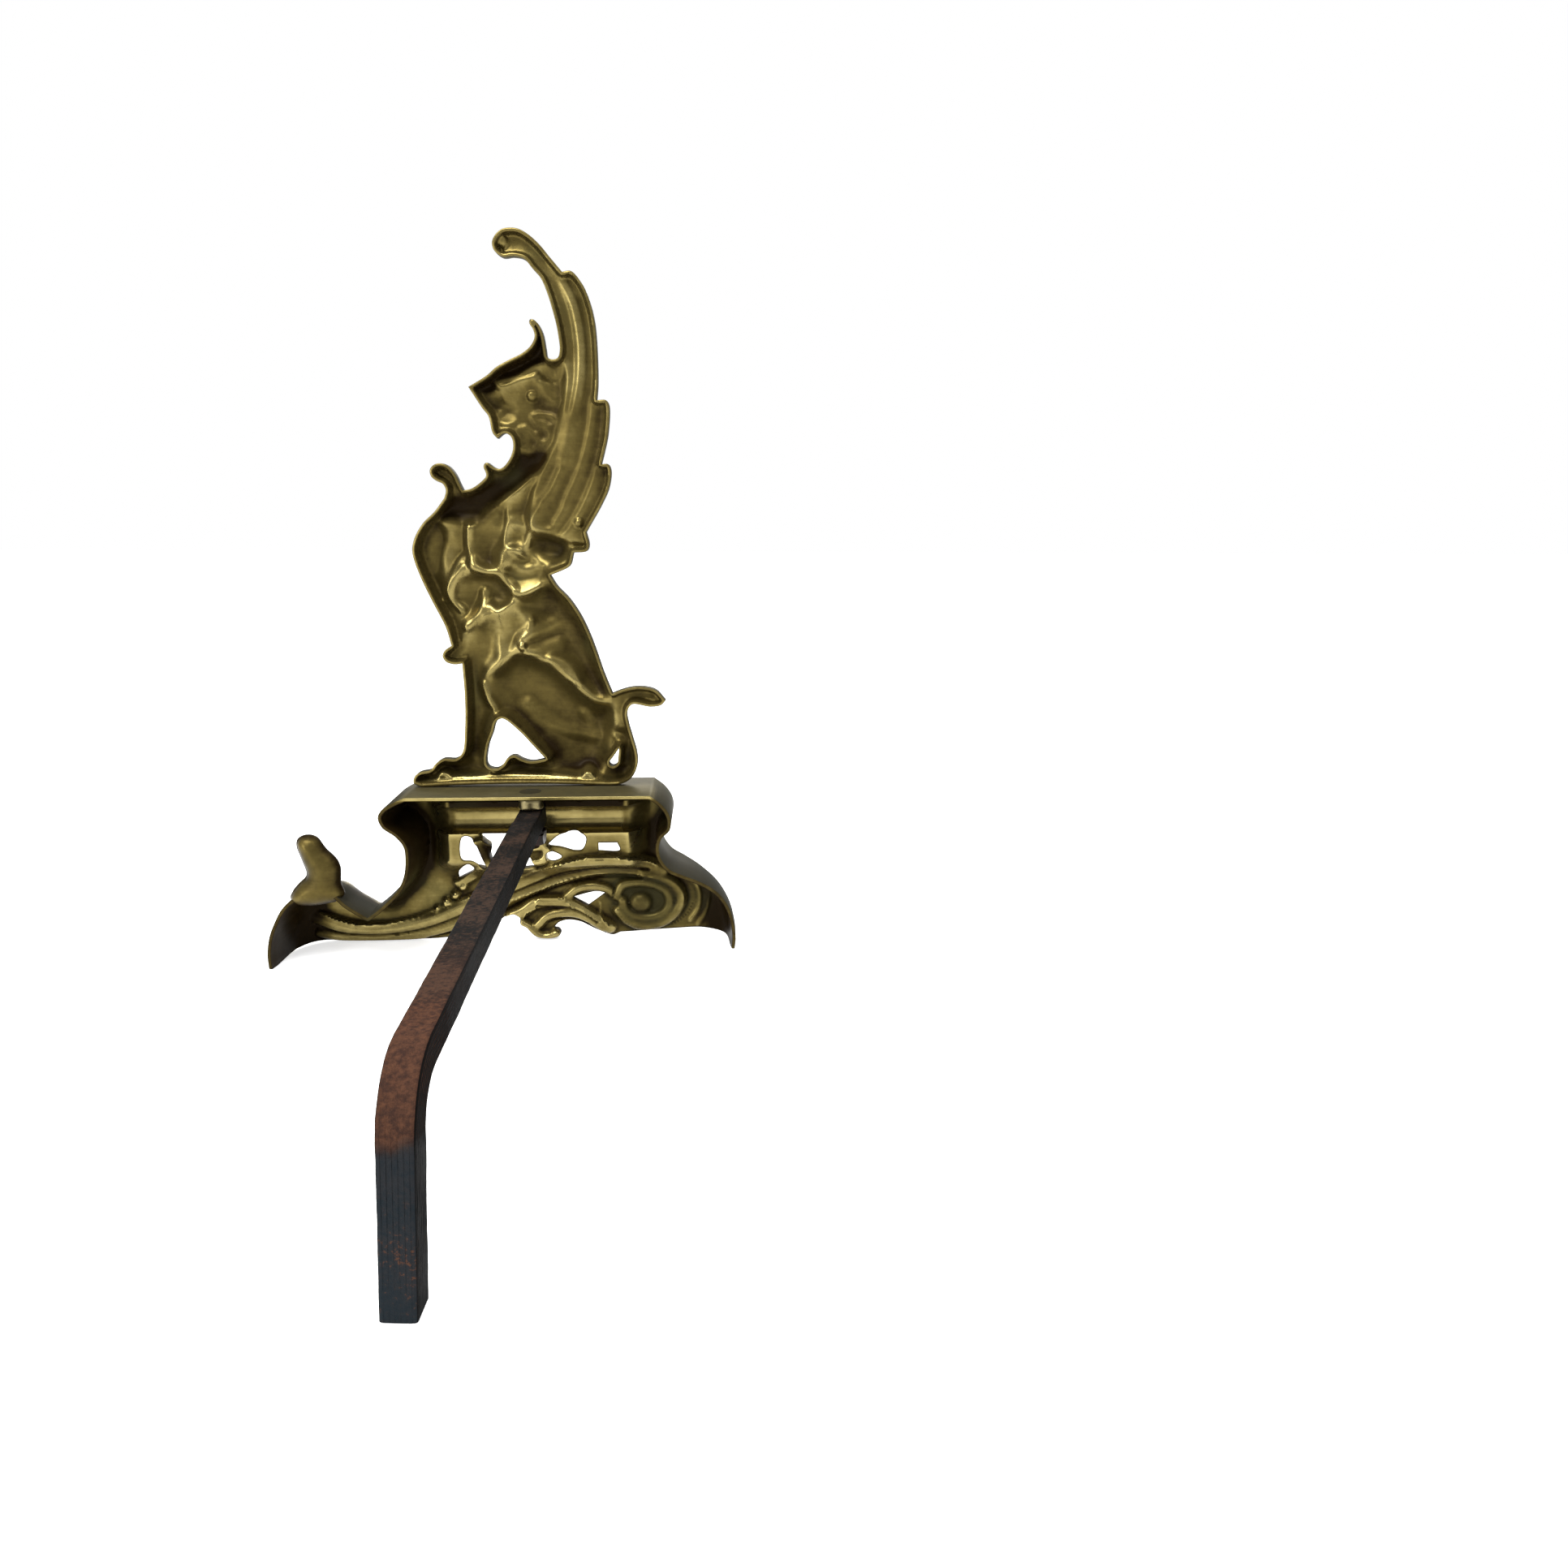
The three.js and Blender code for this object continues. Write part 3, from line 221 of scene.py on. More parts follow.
# Grooves: name, depth, line of (x, z, half width).
GROOVES = [
    ("inner feather", 10, [(44, 298.5, 2.4), (47.5, 289.5, 3.6), (50, 279.5, 4.2), (52, 261.5, 4.6),
         (50.5, 243, 5), (46.5, 225, 5), (42.5, 209, 5.8), (37, 195, 6.8), (31, 183.5, 7.6),
         (25, 175.5, 6.4)]),
    ("feather 1", 10.5, [(51.5, 300.5, 2.6), (58.5, 289, 3.6), (61.5, 271.5, 3.6), (62, 251, 3.8),
         (59.5, 230.5, 4.6), (55.5, 211.5, 5.8), (49.5, 194, 6.4), (42, 177, 6.8), (34, 162.5, 5.8)]),
    ("feather 2", 10.5, [(67.5, 229.5, 2.6), (66.5, 217, 3.4), (63.5, 202, 3.8), (58, 188, 4.2),
         (50.5, 174.5, 4.4), (44.5, 164.5, 3.6), (40.5, 157.5, 2.6)]),
    ("feather 3", 9, [(70, 194.5, 2), (68.5, 184.5, 2.8), (66.5, 181, 3.2), (60.5, 169, 3.6),
         (55, 159.5, 3.2)]),
    ("inner feather tip", 12, [(38, 196, 5.2), (32, 187.5, 5.8), (25, 178.5, 5.2), (21, 170, 3.8)]),
    ("shaft", 8.5, [(42.5, 304, 2.8), (49, 293.5, 3.4), (53.5, 279.5, 2.8), (55, 267.5, 2)]),
    ("eye", 12, [(5, 230.5, 3.2), (12, 226.5, 4.8), (16.5, 227, 2.6)]),
    ("ear", 13, [(31.5, 230, 3.8), (35, 228.5, 3.8)]),
    ("ear top", 12, [(34.5, 248, 3.2), (41.5, 245, 3.2)]),
    ("tail stem", 7.5, [(73.5, 51.5, 2.6), (74, 38.5, 3.2), (76.5, 24, 3.2), (79.5, 16.5, 2.6),
         (76.5, 6, 2.4)]),
    ("breast leaf", 7, [(-31, 191, 2.6), (-26.5, 189.5, 2.8), (-23, 184, 2.4)]),
]

# Ridges that stand towards the back: name, height, half width, line.
RIDGES = [
    ("brow top", 2.5, 1.0, [(6.5, 243), (10.5, 244.5), (19, 246), (25.5, 249.5), (32, 252.5),
         (40.5, 252.5), (47, 253)]),
    ("brow low", 2.5, 1.0, [(6.5, 242.5), (9, 240), (12, 240), (18, 242), (23.5, 244), (28, 245),
         (32, 247)]),
    ("nose", 1.4, 0.8, [(2.5, 225), (5.5, 224), (9, 226), (10, 227.5)]),
    ("eyelid", 1.2, 0.7, [(11, 236), (12, 232.5)]),
    ("lip", 1.4, 0.8, [(6, 220), (8.5, 220), (12, 219), (16.5, 220)]),
    ("cheek lump", 3, 2.0, [(33.5, 241.5), (35.5, 237.5), (38, 235), (41, 233)]),
    ("hair wave", 2.2, 0.9, [(34, 250), (37, 249), (40, 246), (43, 247), (45.5, 250.5)]),
    ("ear pearl", 2.5, 1.1, [(32.5, 229.5), (36, 229.5)]),
    ("beard 1", 2.2, 0.8, [(27, 223.5), (31, 225), (35.5, 225), (39.5, 223), (41, 220.5), (39.5, 218.5),
         (37, 218), (33.5, 220), (29.5, 221)]),
    ("beard 2", 2.2, 0.8, [(28, 222), (29.5, 219), (34, 217.5), (37, 215), (37, 212), (34.5, 209),
         (32.5, 208.5), (30, 211), (29.5, 214)]),
    ("beard 3", 2.2, 0.8, [(19.5, 217), (22, 214.5), (24, 211.5), (24, 207.5), (24.5, 205)]),
    ("beard 4", 2.2, 0.8, [(22.5, 217.5), (26, 214.5), (28.5, 211), (29.5, 208.5), (27.5, 205),
         (25.5, 202.5), (22.5, 203.5), (21.5, 205.5)]),
    ("beard 5", 1.6, 0.8, [(19, 215.5), (20, 211.5), (21.5, 210)]),
    ("neck edge", 3.5, 1.2, [(48, 253), (48.5, 247), (47.5, 239), (45.5, 228.5), (43, 219), (40, 208.5),
         (35.5, 200), (31.5, 193), (29.5, 191.5), (20, 184), (11, 177.5), (5.5, 173)]),
    ("main rib", 4.2, 1.6, [(43.5, 304.5), (48.5, 297), (54, 285.5), (57, 271), (57.5, 255),
         (56, 240.5), (52, 225), (49, 211)]),
    ("main rib end", 4.2, 3.0, [(51, 221.5), (48.5, 209), (46.5, 200)]),
    ("rib 1", 1.6, 0.8, [(53, 299.5), (57.5, 291)]),
    ("rib 2", 3.5, 1.3, [(64, 233), (62, 220), (58, 204), (52.5, 189), (45.5, 174.5), (44, 170),
         (39, 162.5)]),
    ("rib 3", 2.6, 1.1, [(70.5, 230.5), (69.5, 214.5), (65.5, 198.5), (61, 184.5), (55, 171),
         (48, 160.5), (42, 154.5)]),
    ("rib 4", 3.6, 1.3, [(43.5, 193.5), (39, 184), (35.5, 178.5), (31, 174)]),
    ("feather end 1", 2.5, 1.1, [(30.5, 172), (25, 164.5), (25, 160), (31, 158), (36.5, 158.5),
         (39.5, 162.5)]),
    ("tip ridge", 1.8, 0.8, [(27.5, 321), (35.5, 314), (43.5, 306)]),
    ("chest fold 1", 4.5, 3.0, [(-27, 161.5), (-25.5, 151), (-29.5, 141), (-31.5, 131)]),
    ("chest fold 2", 3, 2.2, [(-35.5, 156.5), (-37.5, 145.5), (-37, 134.5)]),
    ("chest fold 3", 3.5, 1.8, [(-31, 114), (-27, 104), (-23.5, 93)]),
    ("shoulder 1", 3.6, 1.3, [(-16.5, 143.5), (-21.5, 140), (-26.5, 131), (-29, 121), (-26, 114),
         (-21.5, 110)]),
    ("shoulder 2", 2.6, 1.0, [(-19.5, 137.5), (-25, 127.5), (-27, 118.5)]),
    ("collar", 4.5, 1.6, [(-14, 159), (-15.5, 151), (-14.5, 142.5), (-11.5, 136.5), (-5, 133.5),
         (1.5, 132.5), (6, 128), (11, 121.5)]),
    ("mane lump 1", 4, 3.2, [(-1, 165), (0, 161.5)]),
    ("mane lump 2", 3, 2.2, [(12, 164), (14, 163.5)]),
    ("mane lump 3", 4.2, 2.6, [(4, 142.5), (5, 138.5)]),
    ("mane curl", 3, 1.1, [(8.5, 147), (14.5, 145.5), (18, 142)]),
    ("mane edge 1", 2.4, 1.2, [(10.5, 174), (9.5, 164.5), (8, 155.5), (6, 145.5), (3.5, 136.5)]),
    ("mane edge 2", 2.2, 1.0, [(27.5, 155.5), (24.5, 158), (21.5, 154.5), (20.5, 149)]),
    ("covert edge", 2.6, 1.1, [(32, 134), (38, 137), (43.5, 141.5), (46, 147)]),
    ("flank 1", 2.4, 1.0, [(11, 121.5), (14.5, 119.5), (19.5, 120.5), (26, 124)]),
    ("knee 1", 3.4, 2.2, [(15, 91), (23, 95), (33.5, 100.5)]),
    ("knee 2", 3.2, 2.2, [(18.5, 85), (27, 87.5), (35.5, 88.5)]),
    ("knee 3", 3, 2.0, [(32.5, 81), (39, 78.5), (44.5, 74.5), (47.5, 67.5)]),
    ("inner leg edge", 2.2, 1.0, [(20.5, 103), (18.5, 95), (15.5, 91.5)]),
    ("arm fold", 4.4, 1.6, [(-7.5, 120.5), (-8.5, 114), (-15, 105), (-19, 100)]),
    ("arm edge", 2.6, 1.1, [(-9.5, 110), (-4, 113), (0, 108.5), (5, 111.5), (9, 114)]),
    ("elbow", 3, 2.8, [(-7, 104), (-5, 102.5)]),
    ("wrist", 3.2, 1.2, [(-11.5, 63.5), (-8, 53), (-4, 46.5), (-7.5, 41), (-10, 33.5)]),
    ("shank fold", 3.4, 2.4, [(14.5, 49), (24.5, 39.5), (36, 33.5), (54.5, 29.5)]),
    ("shank fold 2", 2.4, 1.8, [(49.5, 43), (52.5, 36), (55, 30.5)]),
    ("tail curl", 2.6, 1.0, [(70, 29.5), (73, 28), (75.5, 22.5), (74.5, 12)]),
    ("tail leaf vein", 1.6, 0.8, [(80, 54.5), (90.5, 54), (97.5, 55)]),
    ("toe 1", 2, 0.9, [(-49, 8), (-45.5, 5.5)]),
    ("toe 2", 2, 0.9, [(-42.5, 11), (-39.5, 8)]),
]

# The wing, which is cast flatter than the rest.
WING = [(5, 330), (46, 256), (48.5, 247), (45.5, 228), (40, 208), (31.5, 193), (24, 180), (22, 160),
        (40, 152), (60, 150), (90, 200), (80, 330)]
WING_FLATNESS = 0.58

# The plinth's flat band: its upper edge and its depth.
PLINTH_TOP = [(-56, 2.5), (-46, 4.6), (-30, 6), (0, 7), (25, 6.8), (45, 5.6), (58, 4.2), (68, 2)]
PLINTH_DEPTH = 2.8

# Cast dots on the hollow side: (x, z), radius, height.
DOTS = [
    ((15.5, 317.5), 3.4, 2.2),
    ((27.5, 235), 3.2, 2.4),
    ((52.5, 162.5), 2.6, 2.5),
    ((14.5, 87.5), 2.6, 3.5),
]

# The walled upper profile of the base: x, z and the depth to which its wall runs straight forward.
BASE_PROFILE = [
    [-147.5, 0, 10], [-147.5, 10, 11], [-145, 22, 12], [-141, 31, 13], [-136, 39.5, 14], [-129, 46, 15],
    [-117, 50, 15], [-104, 49.5, 16], [-96, 42, 18], [-84, 33.5, 20],
    [-76.5, 39, 26], [-69, 46, 34], [-63, 53, 42], [-59.5, 61, 45], [-58, 71, 46], [-58.5, 79, 46],
    [-63, 85.5, 47], [-70.5, 91.5, 47], [-72.5, 98, 47], [-69.5, 103, 47], [-63, 107, 48], [-56, 110, 48],
    [93, 110, 48], [99, 105.5, 48], [103.5, 100, 47], [105.5, 93.5, 47], [104.5, 87.5, 47], [99.5, 82.5, 46],
    [97.7, 76, 46], [99, 69.5, 46], [104, 62.5, 46], [112, 57.5, 46], [123.5, 50, 44], [134.5, 40, 40],
    [141.5, 28.5, 36], [144.5, 18, 33], [145.5, 8, 32], [144.7, 0, 32],
]
PROFILE_CORNERS = [9, 21, 22]  # the notch and the two ends of the shelf

# Its free lower edge, from the right toe back to the left one.
BASE_LOWER_EDGE = [
    [144.7, 0, SHARP], [139, 2.5], [131, 5], [122, 6.5], [103.5, 6], [78, 4.5], [68, 4, SHARP],
    [63, 2.2], [58, 3.5], [50.5, 7], [41, 12], [33, 13.2], [27, 11.5], [24, 8.5, SHARP], [28.3, 5],
    [26.5, 2], [20, 1.2], [13, 2.2], [9, 5], [6, 9], [2, 11.5], [1.5, 16], [-2, 18.5], [-7, 17],
    [-18, 10], [-33, 4.5], [-52, 1.8], [-81, 1.2], [-117, 1.4], [-136, 1.6], [-147.5, 0, SHARP],
]

BASE_OPENINGS = [
    [[-30, 75.5], [-25.5, 76], [-22, 72], [-19.5, 65.5], [-15.5, 56.5], [-18, 53, SHARP], [-24, 59.5],
      [-31, 61]],
    [[-17, 78, SHARP], [9, 78, SHARP], [13.5, 72.5], [12, 69], [3.5, 66], [-5, 60.5], [-9, 58.5],
      [-12.5, 63], [-11.5, 70], [-16, 74]],
    [[-27.5, 57], [-25, 53], [-29, 48.5], [-37.5, 43.5, SHARP], [-35.5, 50]],
    [[12, 62.5, SHARP], [15, 56], [10.5, 53.3], [1, 53.5], [5, 58.5]],
    [[24, 70], [33, 77], [45, 78], [49, 74.5], [46.5, 67], [42, 66.3], [32.5, 69]],
    [[57, 71, SHARP], [69, 71, SHARP], [70.5, 66], [57, 66, SHARP]],
    [[23.5, 64.5], [27, 65.5], [33, 62], [28.5, 59.5], [23.5, 60, SHARP]],
    [[37.5, 29.5, SHARP], [52.5, 33], [58.5, 32, SHARP], [47, 23.5, SHARP]],
    [[-12.5, 39.5, SHARP], [-8, 43.8], [4.5, 47.3, SHARP], [1, 43]],
]

LEAF_FINIAL = [
    [-131, 46], [-128.5, 51.5], [-124.5, 56], [-119.8, 61], [-121.5, 70], [-124, 80], [-122.5, 84.5],
    [-117.5, 86.5], [-111.5, 85], [-107, 78], [-101, 71], [-99, 65.5], [-99.5, 55], [-98, 48],
    [-104, 43, SHARP], [-118, 41], [-128, 42],
]

# Raised lines of the base, seen from its back: name, height, half width, line.
BASE_REEDS = [
    ("long scroll", 4.2, 6.2, [(-136, 19), (-124, 14.5), (-110, 9.5), (-97, 8), (-78, 9), (-59, 13.5),
         (-40, 21), (-21, 29.5), (-3, 37), (12, 43.5), (30, 51.5), (49, 56.5), (67, 57.5), (84, 54),
         (96, 47.5)]),
    ("under reed", 3, 3.4, [(-131, 7), (-110, 3), (-84, 3), (-60, 5.5), (-42, 11), (-22, 19.5),
         (-2, 29), (18, 37.5), (38, 44), (55, 47.5), (73, 48), (90, 45), (101, 38), (108, 29)]),
    ("inner volute", 4, 3.6, [(67, 32.5), (70, 37.5), (80, 39.5), (91.5, 38), (99.5, 33), (101.5, 25),
         (97, 17.5), (88, 14.5), (78, 16), (71.5, 21), (70, 27)]),
    ("outer volute", 4.4, 4, [(83, 46.5), (95, 43.5), (105, 38), (109.5, 29), (105.5, 18.5), (95, 11),
         (82, 9.5), (73, 13.5), (67, 20)]),
    ("ball", 5.5, 7, [(81.5, 25.5), (83, 25.5)]),
    ("upper acanthus", 4.5, 4.6, [(-4, 16.5), (4, 20.5), (11, 25.5), (21, 27), (32, 26), (42, 21),
         (52, 14.5), (61, 8)]),
    ("lower acanthus", 3.6, 3.6, [(13, 10), (19.5, 16), (29, 18.5), (39, 18), (48, 14), (57, 8)]),
    ("leaf stem", 3.2, 3.4, [(33, 29.5), (40, 35), (50, 37), (60, 35), (66, 30)]),
    ("leaf tip", 4.4, 3.4, [(3, 12), (9, 7.5), (13, 3.5), (19, 2.2), (25, 4)]),
    ("opening arch", 3.4, 4, [(-37, 41), (-27, 46), (-20, 51.5), (-10, 55), (0, 50), (12, 51)]),
    ("stem", 3, 3, [(-19.5, 53), (-7, 56), (3, 62.5), (13, 68), (20, 69)]),
    ("right brow", 3.4, 3.2, [(20, 72), (23.5, 66.5), (21, 60), (15, 58)]),
    ("bud", 5, 3.4, [(-14.5, 57), (-15.5, 64), (-17.5, 70)]),
    ("bud head", 4, 2.4, [(-21.5, 72.5), (-16.5, 73.5), (-12.5, 72)]),
    ("berry", 4.5, 3, [(-46, 27.5), (-45.5, 28)]),
    ("berry", 4.5, 3, [(-40, 32), (-39.5, 32.5)]),
    ("berry", 4.5, 3, [(-34.5, 38), (-34, 38.5)]),
    ("berry", 3, 2.4, [(-53, 22.5), (-52.5, 23)]),
]

# Thin raised lines and creases of the base; a negative height is a crease.
BASE_LINES = [
    (1.3, 0.8, [(-133, 24.5), (-119, 17.5), (-104, 13), (-85, 13.5), (-66, 18), (-53, 23), (-34, 30),
         (-15, 37.5), (4, 45), (18.5, 52), (36, 58.5), (55, 62), (79, 59.5), (93, 52.5)]),
    (-1.6, 0.9, [(-134, 14.5), (-119, 8), (-97, 5.6), (-78, 6.5), (-59, 10), (-42, 16), (-23, 24.5),
         (-3, 33), (17, 41.5), (36, 49), (55, 52), (73, 52.5), (88, 49)]),
    (0.9, 0.7, [(-5, 27.5), (17, 36), (36, 43), (55, 46.5), (73, 47), (90, 44)]),
    (-1.2, 0.8, [(-60, 2.5), (-36, 8), (-12, 18), (8, 29), (28, 37), (50, 42.5), (70, 43.5),
         (84, 42.5)]),
    (0.9, 0.6, [(4, 15.5), (7, 20), (12.5, 22.5), (14.5, 29), (22.5, 30), (32.5, 29)]),
    (-1.5, 0.8, [(14, 24), (23.5, 23), (35, 22.5), (44, 18.5), (53, 12)]),
    (-1.2, 0.7, [(20, 12.5), (29, 14.5), (39, 14), (47, 10.5)]),
    (0.8, 0.6, [(34, 27), (39, 21.5), (46, 18), (54, 13)]),
    (-1.3, 0.7, [(65, 36), (63.5, 29)]),
    (1, 0.7, [(55, 25.5), (55.5, 17.5), (60.5, 9.5)]),
    (1.5, 1.5, [(112, 46), (119, 38), (121.5, 31), (120.5, 21), (115, 12)]),
    (1.3, 1.3, [(123, 42), (127.5, 34), (127.5, 26), (125, 17), (120, 9)]),
]

# The row of nicks under the volute.
NICK_SPACING = 2.3
NICK_LINE = [(68, 18), (73, 11.5), (82, 7.6), (93, 7), (104.5, 10), (113.5, 17), (117.5, 25)]


# ---------------------------------------------------------------- lines in the plane


def smooth(t):
    """Eases from 0 to 1."""
    t = np.clip(t, 0, 1)
    return t * t * (3 - 2 * t)


def arc(t):
    """Rises from 0 to 1 as a quarter circle does."""
    return np.sqrt(1 - (1 - np.clip(t, 0, 1)) ** 2)


def run(points, step):
    """Evenly spaced points of a smooth curve through the given ones. A third number rides along."""
    p = np.array([(*q, 0)[:3] for q in points], float)
    p = np.vstack([2 * p[0] - p[1], p, 2 * p[-1] - p[-2]])
    t = np.linspace(0, 1, 13)[:-1, None]
    spans = []
    for a, b, c, d in zip(p, p[1:], p[2:], p[3:]):
        before, here, after = (max(np.linalg.norm(v), 1e-6) ** 0.5 for v in (b - a, c - b, d - c))
        first = ((b - a) / before - (c - a) / (before + here) + (c - b) / here) * here
        last = ((c - b) / here - (d - b) / (here + after) + (d - c) / after) * here
        square = 3 * (c - b) - 2 * first - last
        cube = 2 * (b - c) + first + last
        spans.append(b + first * t + square * t**2 + cube * t**3)
    fine = np.vstack([*spans, p[-2]])
    along = np.concatenate([[0], np.cumsum(np.hypot(*np.diff(fine[:, :2], axis=0).T))])
    at = np.linspace(0, along[-1], max(1, round(along[-1] / step)) + 1)
    return np.column_stack([np.interp(at, along, fine[:, k]) for k in range(3)])


def outline(points, step):
    """Evenly spaced points of a closed outline, smooth between its sharp points."""
    sharp = [i for i, p in enumerate(points) if len(p) > 2]
    start = sharp[0] if sharp else 0
    turned = [*points[start:], *points[:start], points[start]]
    ends = [i for i, p in enumerate(turned) if len(p) > 2] or [0, len(points)]
    parts = [run([p[:2] for p in turned[a : b + 1]], step)[:-1, :2] for a, b in zip(ends, ends[1:])]
    return np.vstack(parts)


def area(loop):
    x, z = loop.T
    return (x * np.roll(z, -1) - np.roll(x, -1) * z).sum() / 2


def wound(loop, sign):
    """The loop, turned so that its area has this sign."""
    return loop if area(loop) * sign > 0 else loop[::-1]


def nearest(points, line, closed=False):
    """The distance of each point to a line, and the line's third number at the nearest place."""
    line = np.asarray(line, np.float32)
    a, b = (line, np.roll(line, -1, 0)) if closed else (line[:-1], line[1:])
    along = (b - a)[:, :2]
    square = np.maximum((along**2).sum(1), 1e-9)
    distance, value = np.empty(len(points)), np.zeros(len(points))
    block = max(1, 4_000_000 // len(a))
    for start in range(0, len(points), block):
        p = np.asarray(points[start : start + block], np.float32)
        x, z = p[:, :1] - a[:, 0], p[:, 1:2] - a[:, 1]
        t = np.clip((x * along[:, 0] + z * along[:, 1]) / square, 0, 1)
        gap = (x - t * along[:, 0]) ** 2 + (z - t * along[:, 1]) ** 2
        best = gap.argmin(1)
        rows = np.arange(len(p))
        distance[start : start + block] = np.sqrt(gap[rows, best])
        if line.shape[1] > 2:
            share = t[rows, best]
            value[start : start + block] = a[best, 2] * (1 - share) + b[best, 2] * share
    return distance, value


def inside(points, loops):
    """Whether each point lies within the loops, of which the inner ones are holes."""
    odd = np.zeros(len(points), bool)
    for loop in loops:
        a, b = loop, np.roll(loop, -1, 0)
        slope = (b[:, 0] - a[:, 0]) / np.where(b[:, 1] == a[:, 1], 1, b[:, 1] - a[:, 1])
        block = max(1, 4_000_000 // len(a))
        for start in range(0, len(points), block):
            x, z = points[start : start + block, :1], points[start : start + block, 1:2]
            crossed = ((a[:, 1] > z) != (b[:, 1] > z)) & (x < a[:, 0] + (z - a[:, 1]) * slope)
            odd[start : start + block] ^= crossed.sum(1) % 2 == 1
    return odd


def near_box(points, line, margin):
    """The indices of the points that a form along this line can reach."""
    line = np.asarray(line)[:, :2]
    low, high = line.min(0) - margin, line.max(0) + margin
    return np.flatnonzero(((points > low) & (points < high)).all(1))


# ---------------------------------------------------------------- relief


def add_hollows(points, depth, hollows):
    """Deepens the relief by rounded hollows, each within its own border."""
    for _, full, width, border in hollows:
        loop = outline(border, 1.5)
        at = near_box(points, loop, 0)
        at = at[inside(points[at], [loop])]
        rise = arc(nearest(points[at], loop, True)[0] / (SOFTNESS * width))
        depth[at] = np.maximum(depth[at], HOLLOW_FLOOR + (full - HOLLOW_FLOOR) * rise)


def add_grooves(points, depth, grooves):
    """Deepens the relief along lines whose half width rides along them."""
    for _, full, line in grooves:
        at = near_box(points, line, 8)
        gap, half = nearest(points[at], run(line, 2))
        round_floor = np.sqrt(np.clip(1 - (gap / np.maximum(half, 0.1)) ** 2, 0, 1))
        depth[at] = np.maximum(depth[at], HOLLOW_FLOOR + (full - HOLLOW_FLOOR) * round_floor)


def ridge_field(points, ridges, spread):
    """How far the ridges stand above the sheet at each point."""
    height = np.zeros(len(points))
    for tall, half, line in ridges:
        at = near_box(points, line, spread * half)
        t = nearest(points[at], run(line, 1.5))[0] / (spread * half)
        bump = tall * np.clip(1 - t * t, 0, 1) ** 2
        height[at] = np.where(np.abs(bump) > np.abs(height[at]), bump, height[at])
    return height


def nicks(points):
    """A row of small nicks along the volute's lower rib."""
    line = run(NICK_LINE, 1)
    line[:, 2] = np.concatenate([[0], np.cumsum(np.hypot(*np.diff(line[:, :2], axis=0).T))])
    gap, along = nearest(points, line)
    return 0.5 * (1 - smooth(gap / 1.4)) * (0.5 + 0.5 * np.cos(2 * math.pi * along / NICK_SPACING))


def reed_field(points, reeds):
    """Half-round reeds, of which the highest counts."""
    height = np.zeros(len(points))
    for _, tall, half, line in reeds:
        at = near_box(points, line, half)
        t = nearest(points[at], run(line, 1.5))[0] / half
        height[at] = np.maximum(height[at], tall * np.sqrt(np.clip(1 - t * t, 0, 1)))
    return height


# ---------------------------------------------------------------- sheets


def triangles(loops, inner):
    """The points of the loops and the inner ones, and triangles that fill the region within the loops."""
    points = np.vstack([*loops, inner])
    edges, first = [], 0
    for loop in loops:
        edges += [(first + i, first + (i + 1) % len(loop)) for i in range(len(loop))]
        first += len(loop)
    made = delaunay_2d_cdt([Vector(p) for p in points], edges, [], 0, 1e-6)
    if len(made[0]) != len(points):
        raise RuntimeError("two lines of a casting cross or touch")
    source = np.array([ids[0] for ids in made[3]])
    tris = source[np.array(made[2])]
    a, b, c = (points[tris[:, k]] for k in range(3))
    turn = (b[:, 0] - a[:, 0]) * (c[:, 1] - a[:, 1]) - (b[:, 1] - a[:, 1]) * (c[:, 0] - a[:, 0])
    tris[turn < 0] = tris[turn < 0][:, ::-1]
    return points, tris[inside((a + b + c) / 3, loops)]


def offset_ring(line, closed, distance, keep):
    """Points at one distance inside a line, left out where the casting is too narrow for them."""
    ahead = np.roll(line, -1, 0) if closed else np.vstack([line[1:], 2 * line[-1] - line[-2]])
    behind = np.roll(line, 1, 0) if closed else np.vstack([2 * line[0] - line[1], line[:-1]])
    way = ahead - behind
    way /= np.maximum(np.hypot(*way.T), 1e-9)[:, None]
    moved = line + np.column_stack([-way[:, 1], way[:, 0]]) * distance
    return moved[keep(moved, distance)]


def spread_out(points, gap):
    """The points without those that lie nearer than gap to one kept before."""
    cells, kept = {}, []
    for i, (x, z) in enumerate(points):
        column, row = math.floor(x / gap), math.floor(z / gap)
        around = [cells.get((column + u, row + v), ()) for u in (-1, 0, 1) for v in (-1, 0, 1)]
        if all((x - p) ** 2 + (z - q) ** 2 >= gap * gap for cell in around for p, q in cell):
            cells.setdefault((column, row), []).append((x, z))
            kept.append(i)
    return points[kept]


def grid(loops, pitch):
    """A triangular grid of points within the loops."""
    low, high = loops[0].min(0), loops[0].max(0)
    rows = np.arange(low[1], high[1], pitch * math.sqrt(0.75))
    columns = np.arange(low[0], high[0], pitch)
    x = columns[None, :] + np.where(np.arange(len(rows)) % 2, pitch / 2, 0)[:, None]
    points = np.column_stack([x.ravel(), np.repeat(rows, len(columns))])
    return points[inside(points, loops)]


def eased(values, tris, rounds):
    """Values at the corners of triangles, averaged with their neighbours' so many times."""
    i = np.concatenate([tris[:, [0, 1, 2]].ravel(), tris[:, [1, 2, 0]].ravel()])
    j = np.concatenate([tris[:, [1, 2, 0]].ravel(), tris[:, [0, 1, 2]].ravel()])
    share = np.maximum(np.bincount(i, minlength=len(values)), 1)
    for _ in range(rounds):
        values = (values + np.bincount(i, values[j], len(values)) / share) / 2
    return values


def standing(height, tris):
    """How far a place stands out from what lies round it: above 0 on ridges, below in creases."""
    near = height - eased(height, tris, 8)
    wide = height - eased(height, tris, 60)
    return np.clip(near * 0.5 + wide * 0.13, -1, 1)


